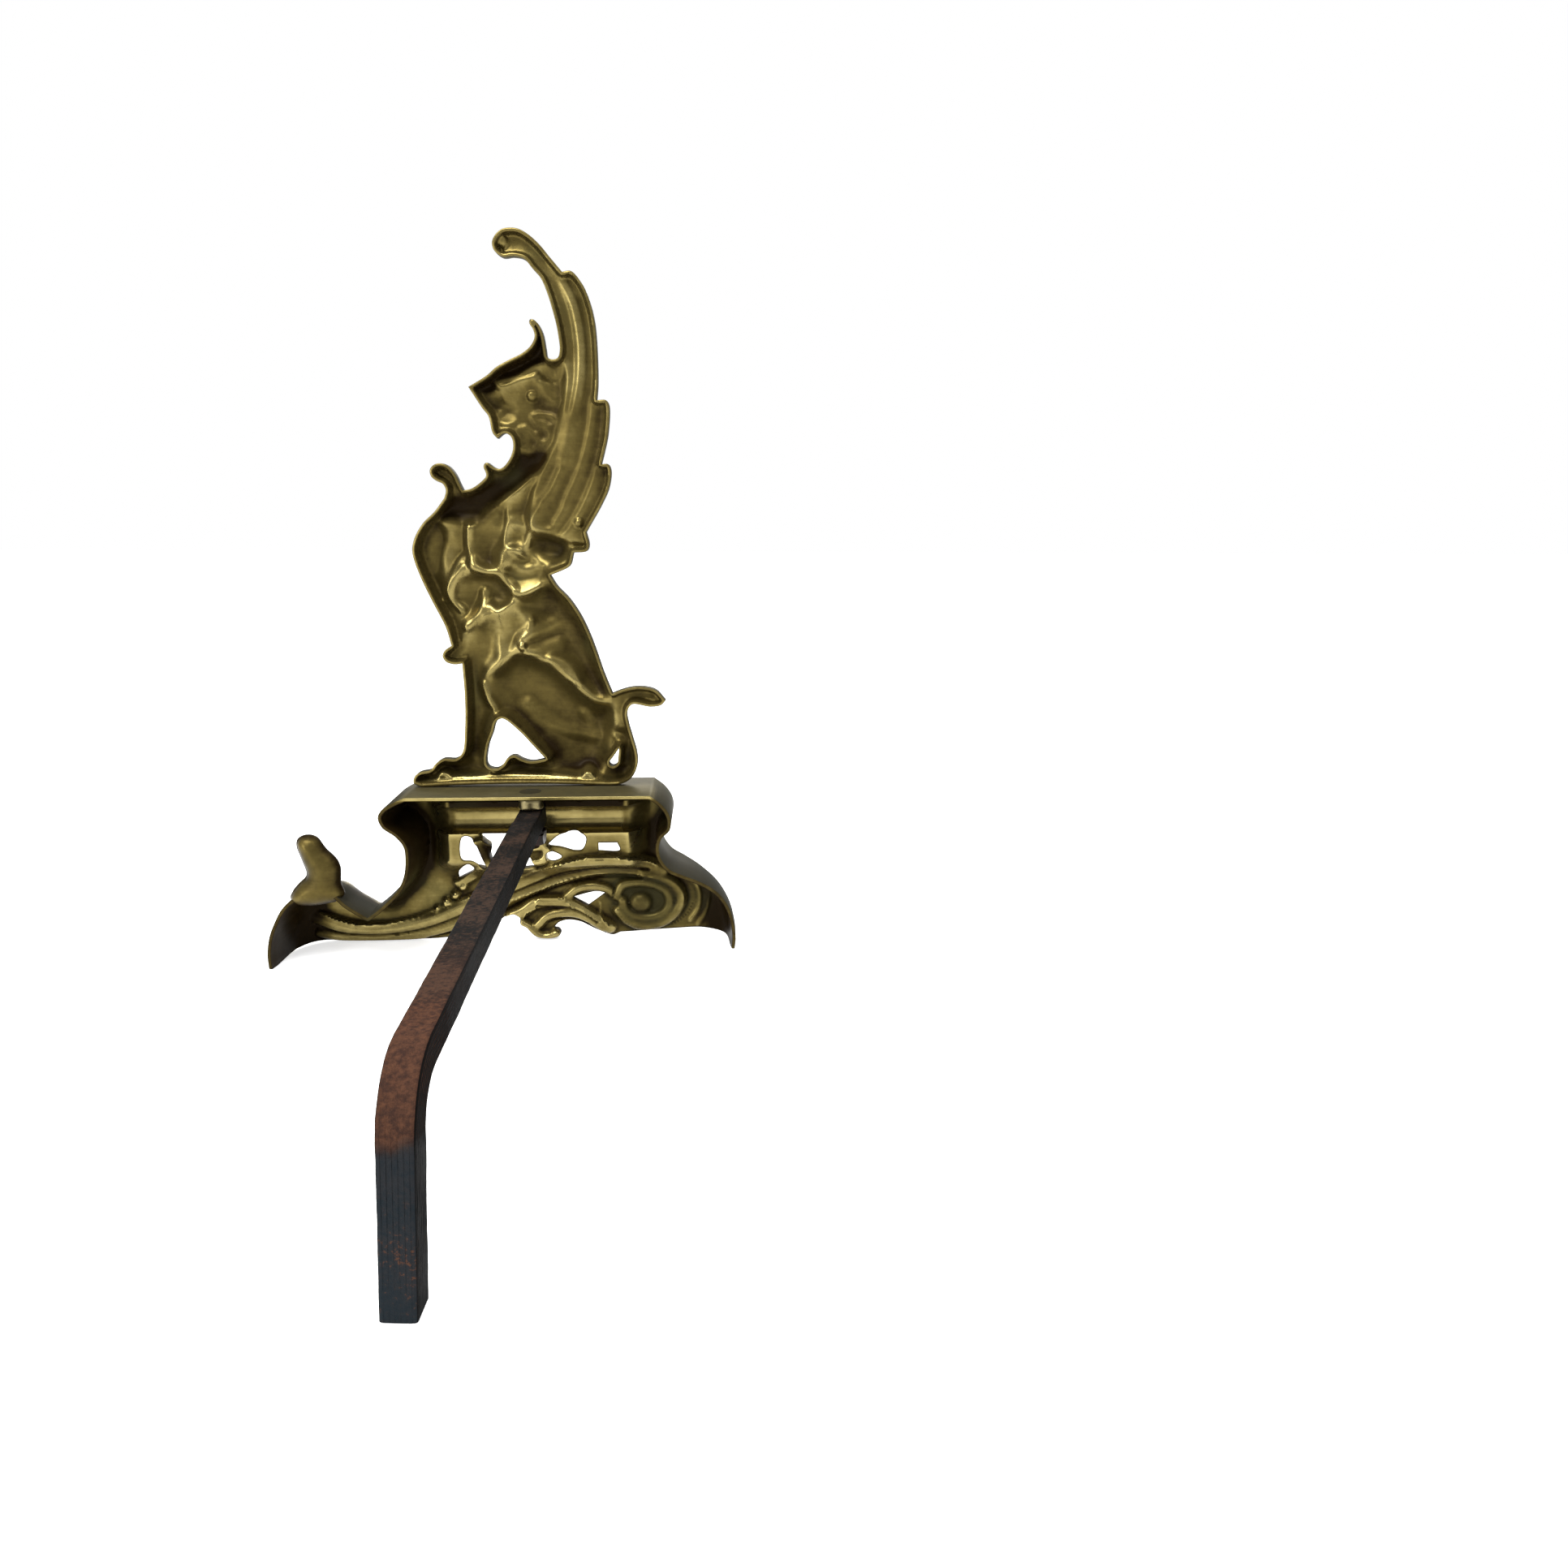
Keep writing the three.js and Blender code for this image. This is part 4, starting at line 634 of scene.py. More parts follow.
class Sheet:
    """One side of a casting: points in the plane, their depth and triangles, their wear with the shade
    painted on them, and whether they belong to the dark outer wall."""

    def __init__(self, loops, inner, held):
        self.points, self.tris = triangles(loops, inner)
        free = ~held(self.points)
        free[: sum(map(len, loops))] = False
        for _ in range(RELAXING):
            moved = [eased(self.points[:, axis], self.tris, 1) for axis in (0, 1)]
            self.points[free] = np.column_stack(moved)[free]
        self.depth = np.zeros(len(self.points))
        self.worn = np.zeros(len(self.points))
        self.skin = np.zeros(len(self.points))


def casting(loops, front, back, place):
    """A closed mesh of two sheets over the same loops, joined along every edge."""
    shift = len(front.points)
    corners = np.vstack([
        np.column_stack([side.points[:, 0], side.depth, side.points[:, 1]]) for side in (front, back)
    ])
    faces = [front.tris[:, ::-1], back.tris + shift]
    first = 0
    for loop in loops:
        a = first + np.arange(len(loop))
        b = first + (np.arange(len(loop)) + 1) % len(loop)
        faces += [np.column_stack([a, b, a + shift]), np.column_stack([b, b + shift, a + shift])]
        first += len(loop)
    looks = {name: np.concatenate([getattr(side, name) for side in (front, back)]) for name in LOOKS}
    return place(corners), np.vstack(faces), looks


def mesh_of(name, corners, faces, looks):
    """A mesh, in metres, from corners in the drawing's millimetres."""
    mesh = bpy.data.meshes.new(name)
    mesh.from_pydata(in_frame(corners).tolist(), [], faces.tolist())
    for look, values in looks.items():
        mesh.attributes.new(look, "FLOAT", "POINT").data.foreach_set("value", values.astype(np.float32))
    return mesh


def in_frame(corners):
    """The drawing's millimetres as the frame's metres. The bolt's axis ties the two together."""
    low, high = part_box("bar_bolt")
    across, along = ((low + high) / 2).xy
    return corners * MM + np.array([across - BOLT_X * MM, along - BOLT_Y * MM, 0])


def finish_mesh(mesh, material, sharp_angle):
    """Shades the mesh smooth between its sharp edges and gives it its material."""
    mesh.validate()
    mesh.shade_smooth()
    mesh.set_sharp_from_angle(angle=sharp_angle)
    mesh.materials.clear()
    mesh.materials.append(material)


def show(name, mesh, slot, *nodes):
    """A finished piece, which rides on the andiron's one body in place of the CAD nodes."""
    piece = bpy.data.objects.new(name, mesh)
    bpy.context.collection.objects.link(piece)
    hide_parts(*nodes)
    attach(piece, "root")
    return piece


# ---------------------------------------------------------------- the figure


def figure_loops(step):
    loops = [outline(points, step) for points in (FIGURE_OUTLINE, LEG_OPENING, TAIL_OPENING)]
    return [wound(loops[0], 1), *(wound(loop, -1) for loop in loops[1:])]


def to_loops(points, loops):
    return np.minimum.reduce([nearest(points, loop, True)[0] for loop in loops])


def figure_relief(points, tris):
    """Depth of the hollow, and the height of what stands in it, without the rim."""
    depth = np.full(len(points), float(HOLLOW_FLOOR))
    add_hollows(points, depth, HOLLOWS)
    add_grooves(points, depth, GROOVES)
    depth = np.maximum(depth, eased(depth, tris, 40) - GAP_STEP)
    depth = eased(depth, tris, 13)
    wing = outline(WING, 4)
    into_wing = nearest(points, wing, True)[0] * np.where(inside(points, [wing]), 1, -1)
    flatness = 1 - (1 - WING_FLATNESS) * smooth(into_wing / 5 + 0.5)
    depth *= flatness
    ridges = RIDGE_HEIGHT * flatness * ridge_field(points, [row[1:] for row in RIDGES], RIDGE_SPREAD)
    x, z = points.T
    above = z - np.interp(x, *np.array(PLINTH_TOP).T)
    depth = np.where(above < 1.2, PLINTH_DEPTH + (depth - PLINTH_DEPTH) * smooth(above / 1.2), depth)
    ridges = ridges * smooth(above / 2)
    for screw_x in SCREWS_X:
        off = np.hypot(x - screw_x, np.maximum(z - LUG_TOP, 0)) / LUG_RADIUS
        lug = LUG_DEPTH + (depth - LUG_DEPTH) * smooth((off - 0.8) / 0.45)
        depth = np.minimum(depth, np.maximum(lug, LUG_DEPTH))
    for (x, z), radius, height in DOTS:
        gap = np.hypot(points[:, 0] - x, points[:, 1] - z)
        dot = height * arc((radius - gap) / 1.2)
        ring = -0.8 * np.clip(1 - np.abs(gap - radius - 0.7) / 0.9, 0, 1)
        ridges = np.where(gap < radius, np.maximum(ridges, dot), ridges + ring)
    return depth, ridges


def painted_shade_under_walls(points, depth, loops):
    """How near a place lies under a wall above it, where shade is painted in."""
    upper = []
    for loop in loops:
        way = np.roll(loop, -1, 0) - loop
        upper.append(loop[way[:, 0] < -0.35 * np.hypot(*way.T)])
    upper = np.vstack(upper)[::2]
    gap = np.empty(len(points))
    for start in range(0, len(points), 4000):
        off = points[start : start + 4000, None] - upper[None]
        gap[start : start + 4000] = np.sqrt((off**2).sum(2).min(1))
    return np.exp(-gap / SHADE_REACH) * np.clip(depth / 14, 0, 1)


def figure_wear_and_shade(points, depth, high):
    """How far the figure's hollow is rubbed and shaded: bright on ridges and the plinth's upper edge, with
    painted shade in the hollows that lie deep and in the listed shaded hollows, and darker at the foot of
    the wing."""
    x, z = points.T
    # painted shade: the deeper the hollow lies, the darker it is coloured
    worn = 0.55 + np.where(high > 0, 0.17, 0.5) * high - 0.008 * np.maximum(depth - 8, 0)
    worn -= 0.17 * smooth((x - 22) / 8) * smooth((z - 150) / 6) * smooth((250 - z) / 30)
    worn += 0.2 * np.exp(-((((z - np.interp(x, *np.array(PLINTH_TOP).T)) - 0.4) / 0.9) ** 2))
    worn += 0.12 * smooth((6 - z) / 2)
    # painted shade in the listed hollows, darkest away from their borders
    for name, shade_amount in SHADED_HOLLOWS.items():
        border = outline(next(row[3] for row in HOLLOWS if row[0] == name), 2)
        at = inside(points, [border])
        worn[at] -= shade_amount * smooth(nearest(points[at], border, True)[0] / 3 + 0.3)
    return worn


def make_figure(sizes, material):
    """The figure: a rim, the hollow behind the beast and the face of the show side."""
    rim, wall = sizes.rim / MM, sizes.figure_wall / MM
    loops = figure_loops(0.9)

    def keep(points, distance):
        near = inside(points, loops)
        near[near] = to_loops(points[near], loops) > distance * 0.96
        return near

    def inner(distances, pitch):
        rings = [offset_ring(loop, True, d, keep) for d in distances for loop in loops]
        rings = spread_out(np.vstack(rings), 0.42 * pitch)
        filling = grid(loops, pitch)
        filling = filling[to_loops(filling, loops) > distances[-1] + 0.5 * pitch]
        return np.vstack([rings, filling])

    back = Sheet(loops, inner([0.3, rim - 0.35, rim, rim + 0.35, rim + 0.8, rim + 1.3, rim + 2.1], 1.05),
                 lambda points: to_loops(points, loops) < rim + 1.4)
    to_rim = to_loops(back.points, loops)
    hollow, ridges = figure_relief(back.points, back.tris)
    drop = smooth((to_rim - rim) / 1.3)
    back.depth = (hollow - ridges) * drop + 0.3 * (1 - arc(to_rim / 0.3))
    ceiling = FIGURE_EDGE + (hollow + wall - FIGURE_EDGE) * arc(to_rim / FIGURE_ROUND) - 1.2
    ceiling = np.where(to_rim > rim + 1, eased(ceiling, back.tris, 8), ceiling)
    back.depth = np.minimum(back.depth, np.maximum(ceiling, 0.3))
    back.depth = np.where(to_rim > rim + 0.9, eased(back.depth, back.tris, 2), back.depth)
    high = eased(standing(-back.depth, back.tris), back.tris, 3) * smooth((to_rim - rim - 0.8) / 2.5)
    back.worn = figure_wear_and_shade(back.points, back.depth, high)
    # painted shade: darker just below the figure's upper walls, more so where the hollow is deep
    back.worn -= 0.5 * painted_shade_under_walls(back.points, back.depth, loops)
    # painted shade at the foot of the walls, darkening the hollow close inside the rim
    back.worn = np.minimum(back.worn, 0.12 + 0.3 * (to_rim - rim))
    back.worn = np.where(to_rim < rim - 0.2, 0.5, eased(back.worn, back.tris, 4))
    back.skin = (to_rim < 0.1).astype(float)

    front = Sheet(loops, inner([0.25, 0.8, 1.6, 2.6, 3.8, 5.2, 6.8], 1.2),
                  lambda points: to_loops(points, loops) < 1.7)
    to_rim = to_loops(front.points, loops)
    hollow, ridges = figure_relief(front.points, front.tris)
    full = hollow + wall - 0.75 * np.minimum(ridges, 2.2)
    front.depth = FIGURE_EDGE + (full - FIGURE_EDGE) * arc(to_rim / FIGURE_ROUND)
    front.worn = 0.5 + 0.42 * standing(front.depth, front.tris)
    front.skin = (to_rim < 0.1).astype(float)

    def place(corners):
        return corners + np.array([0, FIGURE_Y, SHELF + FIT])

    mesh = mesh_of("figure", *casting(loops, front, back, place))
    finish_mesh(mesh, material, math.radians(50))
    return mesh


# ---------------------------------------------------------------- the base


def base_profile(step):
    cuts = [0, *PROFILE_CORNERS, len(BASE_PROFILE) - 1]
    runs = [run(BASE_PROFILE[a : b + 1], step) for a, b in zip(cuts, cuts[1:])]
    return np.vstack([*(part[:-1] for part in runs[:-1]), runs[-1]])


def rim_setback(points):
    return TOE_SETBACK * smooth((points[:, 0] - 100) / 44)


def face_depth(points, roundness=1):
    """Depth of the base's face away from its walls: the frame, the recessed panel and the nosing."""
    x, z = points.T
    ramp = PANEL["ramp"]
    across = smooth((x - PANEL["left"] + ramp) / ramp) * smooth((PANEL["right"] + ramp - x) / ramp)
    up = smooth((z - PANEL["low"] + ramp) / ramp) * smooth((104 - z) / 5)
    middle = (NOSING["low"] + NOSING["high"]) / 2
    off = np.clip((z - middle) / (NOSING["high"] - middle), -1, 1)
    roll = roundness * NOSING["bulge"] * np.sqrt(1 - off**2) * across
    return BASE_DEPTH - 3 - PANEL["recess"] * across * up + roll


def base_wear_and_shade(points, high):
    """How far the base's hollow is rubbed and shaded: bright on ridges, a painted highlight in the moulding
    with painted shade above it under the shelf, a painted lit strip on the left inner wall, dirty round the
    volute's ball, and darker at the bud and towards both toes."""
    x, z = points.T
    worn = 0.5 + np.where(high > 0, 0.36, 0.62) * high
    moulding = smooth((x - PANEL["left"]) / 4) * smooth((PANEL["right"] - x) / 4)
    in_moulding = moulding * smooth((z - 77) / 2) * smooth((96 - z) / 2)
    # painted light: the moulding is coloured bright as if lit, fading to painted shade towards its top under
    # the shelf
    worn = worn * (1 - in_moulding) + (0.74 - 0.012 * (z - 78)) * in_moulding
    # painted shade: above the nosing, in the gap under the shelf, the brass is coloured dark
    worn = np.where(z > NOSING["high"], np.minimum(worn, 0.46 - 0.9 * moulding), worn)
    worn -= 0.6 * np.exp(-(((x - BUD[0]) ** 2 + (z - BUD[1]) ** 2) / BUD_RADIUS**2) ** 2)
    # painted light: a brighter vertical strip on the left inner wall, next to the panel, as if lit
    worn += 0.22 * np.exp(-(((x + 49) / 5) ** 2)) * smooth((z - 50) / 8)
    worn -= 0.34 * np.exp(-(((x - VOLUTE[0]) ** 2 + (z - VOLUTE[1]) ** 2) / VOLUTE_RADIUS**2))
    # darker towards both toes
    return worn - (0.5 * smooth((x - 116) / 16) + 0.4 * smooth((-118 - x) / 12))


def make_base(sizes, material):
    """The base: the walled shelf and toes, the pierced panel, and the leaf that stands on the left toe."""
    profile = base_profile(1.2)
    lower = outline(BASE_LOWER_EDGE, 1.1)[1:]
    lower = lower[: np.flatnonzero(lower[:, 0] < BASE_PROFILE[0][0] + 0.2)[0]]
    openings = [wound(outline(points, 0.9), -1) for points in BASE_OPENINGS]
    loops = [wound(np.vstack([profile[:, :2], lower]), 1), *openings]
    walls = profile[::-1]
    edges = [np.vstack([profile[-1:, :2], lower, profile[:1, :2]])]
    edges += [np.vstack([opening, opening[:1]]) for opening in openings]

    def to_edge(points):
        return np.minimum.reduce([nearest(points, line)[0] for line in edges])

    def keep_wall(points, distance):
        near = inside(points, loops)
        near[near] = nearest(points[near], profile)[0] > distance * 0.96
        near[near] = to_edge(points[near]) > min(distance, 1.2) * 0.9
        return near

    def keep_edge(points, distance):
        near = inside(points, loops)
        near[near] = to_loops(points[near], loops) > distance * 0.94
        return near

    def inner(wall_rings, edge_rings, pitch):
        rings = [offset_ring(walls[:, :2], False, d, keep_wall) for d in wall_rings]
        lines = [wound(loops[0], 1), *openings]
        rings += [offset_ring(line, True, d, keep_edge) for d in edge_rings for line in lines]
        rings = spread_out(np.vstack(rings), 0.34 * pitch)
        nicked = run(NICK_LINE, 0.55)[:, :2]
        nicked = np.vstack([offset_ring(nicked, False, d, keep_edge) for d in np.arange(1.4, -1.5, -0.55)])
        filling = grid(loops, pitch)
        clear = nearest(filling, profile)[0] > wall_rings[-1] + 0.5 * pitch
        clear &= to_edge(filling) > edge_rings[-1] + 0.5 * pitch
        clear &= nearest(filling, run(NICK_LINE, 2))[0] > 1.9
        return spread_out(np.vstack([rings, nicked, filling[clear]]), 0.3)

    def bank(distance, edge, full, width):
        return edge + (full - edge) * arc(distance / width)

    wall = sizes.base_wall / MM
    floor_from = wall + BASE_DRAFT
    down = [wall + BASE_DRAFT * k / 5 for k in range(6)]
    rings = [0.35, wall - 0.4, *down, *(floor_from + k for k in (0.5, 1.2, 2.1, 3.2, 4.6, 6.2))]

    def held(points):
        return (nearest(points, profile)[0] < floor_from + 0.3) | (to_edge(points) < 0.9)

    def show_face(points, raised):
        to_wall, edge = nearest(points, profile)
        edge_in = np.maximum(edge, rim_setback(points) + 6)
        depth = bank(to_wall, edge_in, face_depth(points) + raised, 2 + 0.55 * (BASE_DEPTH - edge))
        return depth - BASE_EDGE_ROUND * (1 - arc(to_edge(points) / BASE_EDGE_ROUND))

    back = Sheet(loops, inner(rings, [0.3, 0.8, 1.4], 1.15), held)
    to_wall, edge = nearest(back.points, profile)
    rim = rim_setback(back.points)
    edge = np.maximum(edge, rim + 6)
    raised = reed_field(back.points, BASE_REEDS)
    lines = ridge_field(back.points, BASE_LINES, LINE_SPREAD)
    raised = eased(raised, back.tris, 1) + lines * (to_wall > wall + 3)
    raised -= nicks(back.points)
    floor = bank(to_wall - wall - BASE_DRAFT, edge - wall, face_depth(back.points, 0.72) - wall, 7) - raised
    fall = np.clip((to_wall - wall) / BASE_DRAFT, 0, 1)
    back.depth = rim + (floor - rim) * fall
    edge_drop = BASE_EDGE_ROUND * (1 - arc(to_edge(back.points) / BASE_EDGE_ROUND))
    back.depth += np.where(to_wall > floor_from, edge_drop, 0)
    back.depth += 0.35 * (1 - arc(to_wall / 0.35))
    behind_face = show_face(back.points, 0) - BASE_LEAST_WALL
    back.depth = np.where(to_wall > wall, np.minimum(back.depth, behind_face), back.depth)
    worn = base_wear_and_shade(back.points, standing(-back.depth, back.tris))
    # painted shade: the inner sides of the base's walls are coloured dark
    worn = np.where(to_wall < floor_from + 0.1, -0.15, worn)
    rim_worn = 0.2 + 0.5 * smooth((back.points[:, 1] - 107) / 2)
    back.worn = np.where(to_wall < wall - 0.2, rim_worn, worn)
    back.skin = (to_wall < 0.1).astype(float)

    front = Sheet(loops, inner([0.3, 0.9, 1.8, 3, 4.4, 6, 8], [0.3, 0.8, 1.4], 1.3), held)
    to_wall = nearest(front.points, profile)[0]
    raised = eased(reed_field(front.points, BASE_REEDS), front.tris, 1) * 1.1
    raised += ridge_field(front.points, BASE_LINES, LINE_SPREAD)
    front.depth = show_face(front.points, raised)
    front.worn = 0.5 + 0.42 * standing(front.depth, front.tris)
    front.skin = (to_wall < 0.1).astype(float)

    def place(corners):
        low, high = profile[:, 0].min(), profile[:, 0].max()
        tall = profile[:, 1].max()
        scale = np.array([BASE_WIDTH / (high - low), 1, (SHELF + 0.6) / tall])
        corners = (corners - np.array([0, 0, tall])) * scale + np.array([0, 0, SHELF])
        corners[:, 2] = np.maximum(corners[:, 2], 0)
        return corners

    corners, faces, looks = casting(loops, front, back, place)
    leaf_corners, leaf_faces, leaf_looks = make_leaf(place)
    mesh = mesh_of(
        "base",
        np.vstack([corners, leaf_corners]),
        np.vstack([faces, leaf_faces + len(corners)]),
        {name: np.concatenate([looks[name], leaf_looks[name]]) for name in LOOKS},
    )
    finish_mesh(mesh, material, math.radians(48))
    return mesh


def make_leaf(place):
    """The curled leaf on the left toe, rounded on both sides, with a thin bead along its border."""
    loop = wound(outline(LEAF_FINIAL, 0.9), 1)

    def keep(points, distance):
        near = inside(points, [loop])
        near[near] = nearest(points[near], loop, True)[0] > distance * 0.95
        return near

    distances = [0.15, 0.5, 1.1, 1.8, 2.6, 3.4]
    rings = spread_out(np.vstack([offset_ring(loop, True, d, keep) for d in distances]), 0.4)
    filling = grid([loop], 1.1)
    filling = filling[nearest(filling, loop, True)[0] > distances[-1] + 0.5]
    middle = 4.5
    sheets = []

    def held(points):
        return nearest(points, loop, True)[0] < 1.2

    for way, full in ((1, 7.5), (-1, 8.5)):
        sheet = Sheet([loop], np.vstack([rings, filling]), held)
        gap = nearest(sheet.points, loop, True)[0]
        bead = 0.9 * np.clip(1 - np.abs(gap - 1.5) / 1.1, 0, 1) ** 0.5
        swell = 1 + (full - 1) * arc((gap - 1.2) / 13) + np.where(gap < 2.6, bead, 0)
        swell = swell * np.where(gap < 1.2, arc(gap / 1.2) * 0.5 + 0.5, 1)
        sheet.depth = middle + way * eased(swell, sheet.tris, 3)
        sheet.worn = 0.24 + 0.4 * eased(standing(way * sheet.depth, sheet.tris), sheet.tris, 4)
        sheets.append(sheet)
    return casting([loop], *sheets, place)


# ---------------------------------------------------------------- Geometry Nodes


class Tree:
    """A Geometry Nodes tree with named inputs."""

    def __init__(self, name):
        self.tree = bpy.data.node_groups.new(name, "GeometryNodeTree")
        self.tree.is_modifier = True
        self.tree.interface.new_socket("Geometry", in_out="INPUT", socket_type="NodeSocketGeometry")
        self.tree.interface.new_socket("Geometry", in_out="OUTPUT", socket_type="NodeSocketGeometry")
        self.start = self.tree.nodes.new("NodeGroupInput")
        self.values = {}

    def input(self, name, kind, value):
        """A named input of the tree."""
        item = self.tree.interface.new_socket(name, in_out="INPUT", socket_type=kind)
        self.values[item.identifier] = value
        return self.start.outputs[name]

    def node(self, kind, settings=None, sockets=None, output=0):
        """One node: its settings, then the values or links of its sockets, by name or place."""
        made = self.tree.nodes.new(kind)
        for key, value in (settings or {}).items():
            setattr(made, key, value)
        for key, value in (sockets or {}).items():
            if isinstance(value, bpy.types.NodeSocket):
                self.tree.links.new(value, made.inputs[key])
            else:
                made.inputs[key].default_value = value
        return made.outputs[output]

    def apply(self, name, mesh, geometry):
        """Runs the tree on a mesh and gives the plain mesh that comes out."""
        whole = self.node("GeometryNodeRealizeInstances", sockets={"Geometry": geometry})
        material = self.input("Material", "NodeSocketMaterial", mesh.materials[0])
        whole = self.node("GeometryNodeSetMaterial", sockets={"Geometry": whole, "Material": material})
        self.tree.links.new(whole, self.tree.nodes.new("NodeGroupOutput").inputs[0])
        carrier = bpy.data.objects.new(name, mesh)
        bpy.context.collection.objects.link(carrier)
        modifier = carrier.modifiers.new(name, "NODES")
        modifier.node_group = self.tree
        for identifier, value in self.values.items():
            modifier[identifier] = value
        bpy.context.view_layer.update()
        evaluated = carrier.evaluated_get(bpy.context.evaluated_depsgraph_get())
        made = bpy.data.meshes.new_from_object(evaluated)
        made.name = name
        bpy.data.objects.remove(carrier)
        return made


def bar_path():
    """The bar's centre line, from its front end under the shelf to its foot."""
    middle = BAR["top"] - BAR_HALF
    rear = -(BAR["reach"] - BAR_HALF)
    bend_y = rear + BAR["bend"]

    def drift(y):
        return BOLT_X + BAR["sway"] * (BOLT_Y - y) / (BOLT_Y - bend_y)

    points = [(drift(y), y, middle) for y in np.linspace(BAR["front"], bend_y, 60)]
    for angle in np.linspace(0, math.pi / 2, 15)[1:]:
        across = BOLT_X + BAR["sway"] - BAR["lean"] * 0.2 * angle / (math.pi / 2)
        back, down = BAR["bend"] * math.sin(angle), BAR["bend"] * (1 - math.cos(angle))
        points.append((across, bend_y - back, middle - down))
    top_x, _, top_z = points[-1]
    foot_x = BOLT_X + BAR["sway"] - BAR["lean"]
    points += [(top_x + (foot_x - top_x) * t, rear, top_z * (1 - t)) for t in np.linspace(0, 1, 16)[1:]]
    return np.array(points)


def make_bar(sizes, material):
    """The billet bar: a square section with worn corners, swept along its bent path and hammered."""
    path = bar_path()
    mesh = bpy.data.meshes.new("bar path")
    mesh.from_pydata(in_frame(path).tolist(), [(i, i + 1) for i in range(len(path) - 1)], [])
    mesh.materials.append(material)
    tree = Tree("billet bar")
    width = tree.input("Width", "NodeSocketFloat", sizes.bar_width)
    corner = tree.input("Corner", "NodeSocketFloat", sizes.bar_corner)
    hammering = tree.input("Hammering", "NodeSocketFloat", sizes.hammering)
    step = tree.input("Eye step", "NodeSocketFloat", BAR["step"] * MM)
    curve = tree.node("GeometryNodeMeshToCurve", sockets={"Mesh": tree.start.outputs["Geometry"]})
    curve = tree.node(
        "GeometryNodeResampleCurve", {"mode": "LENGTH"}, {"Curve": curve, "Length": 1.8 * MM}
    )
    curve = tree.node("GeometryNodeSetCurveNormal", {"mode": "MINIMUM_TWIST"}, {"Curve": curve})
    along = tree.node("GeometryNodeSplineParameter", output="Length")
    curve = tree.node(
        "GeometryNodeStoreNamedAttribute",
        {"data_type": "FLOAT", "domain": "POINT"},
        {"Geometry": curve, "Name": "along", "Value": along},
    )
    section = tree.node("GeometryNodeCurvePrimitiveQuadrilateral", sockets={"Width": width, "Height": width})
    section = tree.node("GeometryNodeSubdivideCurve", sockets={"Curve": section, "Cuts": 6})
    section = tree.node(
        "GeometryNodeFilletCurve",
        {"mode": "POLY"},
        {"Curve": section, "Count": 3, "Radius": corner, "Limit Radius": False},
    )
    solid = tree.node(
        "GeometryNodeCurveToMesh", sockets={"Curve": curve, "Profile Curve": section, "Fill Caps": True}
    )
    broad = tree.node("ShaderNodeTexNoise", sockets={"Scale": 55.0, "Detail": 2.0})
    tight = tree.node("ShaderNodeTexNoise", sockets={"Scale": 190.0, "Detail": 2.0})
    uneven = tree.node("ShaderNodeMath", {"operation": "MULTIPLY_ADD"}, {0: tight, 1: 0.45, 2: broad})
    uneven = tree.node("ShaderNodeMath", {"operation": "SUBTRACT"}, {0: uneven, 1: 0.95})
    uneven = tree.node("ShaderNodeMath", {"operation": "MULTIPLY"}, {0: uneven, 1: hammering})
    push = tree.node(
        "ShaderNodeVectorMath",
        {"operation": "SCALE"},
        {0: tree.node("GeometryNodeInputNormal"), "Scale": uneven},
    )
    solid = tree.node("GeometryNodeSetPosition", sockets={"Geometry": solid, "Offset": push})
    stored = tree.node("GeometryNodeInputNamedAttribute", {"data_type": "FLOAT"}, {"Name": "along"})
    eye = tree.node(
        "ShaderNodeMapRange",
        {"interpolation_type": "SMOOTHSTEP"},
        {0: stored, 1: BAR["eye"] * MM, 2: (BAR["eye"] + 4) * MM, 3: 1.0, 4: 0.0},
    )
    height = tree.node(
        "ShaderNodeSeparateXYZ", sockets={0: tree.node("GeometryNodeInputPosition")}, output="Z"
    )
    top = tree.node(
        "ShaderNodeMapRange", sockets={0: height, 1: 88 * MM, 2: BAR["top"] * MM, 3: 0.0, 4: -1.0}
    )
    press = tree.node("ShaderNodeMath", {"operation": "MULTIPLY"}, {0: eye, 1: top})
    press = tree.node("ShaderNodeMath", {"operation": "MULTIPLY"}, {0: press, 1: step})
    press = tree.node("ShaderNodeCombineXYZ", sockets={"Z": press})
    solid = tree.node("GeometryNodeSetPosition", sockets={"Geometry": solid, "Offset": press})
    made = tree.apply("billet bar", mesh, solid)
    for corner in made.vertices:
        corner.co.z = max(corner.co.z, 0)
    finish_mesh(made, material, math.radians(55))
    return made


# ---------------------------------------------------------------- bolt, washer, nut, collar, screws


def lathe(profile, x, y, sides=64, radius_at=None):
    """A turned solid from (radius, z) points that close on themselves or on the axis."""
    angles = np.arange(sides) * 2 * math.pi / sides
    corners, rings = [], []
    for radius, z in profile:
        if radius == 0:
            rings.append([len(corners)] * sides)
            corners.append((x, y, z))
            continue
        rings.append(list(range(len(corners), len(corners) + sides)))
        for angle in angles:
            out = radius if radius_at is None else radius_at(radius, angle)
            corners.append((x + out * math.cos(angle), y + out * math.sin(angle), z))
    closed = profile[0][0] > 0
    faces = []
    for k in range(len(rings) if closed else len(rings) - 1):
        low, high = rings[k], rings[(k + 1) % len(rings)]
        for i in range(sides):
            j = (i + 1) % sides
            face = [low[i], low[j], high[j], high[i]]
            face = [v for n, v in enumerate(face) if v not in face[:n]]
            if len(face) > 2:
                faces.append(face)
    return corners, faces


def turned_mesh(name, corners, faces, material, angle=35):
    mesh = bpy.data.meshes.new(name)
    mesh.from_pydata(in_frame(np.array(corners)).tolist(), [], faces)
    finish_mesh(mesh, material, math.radians(angle))
    return mesh


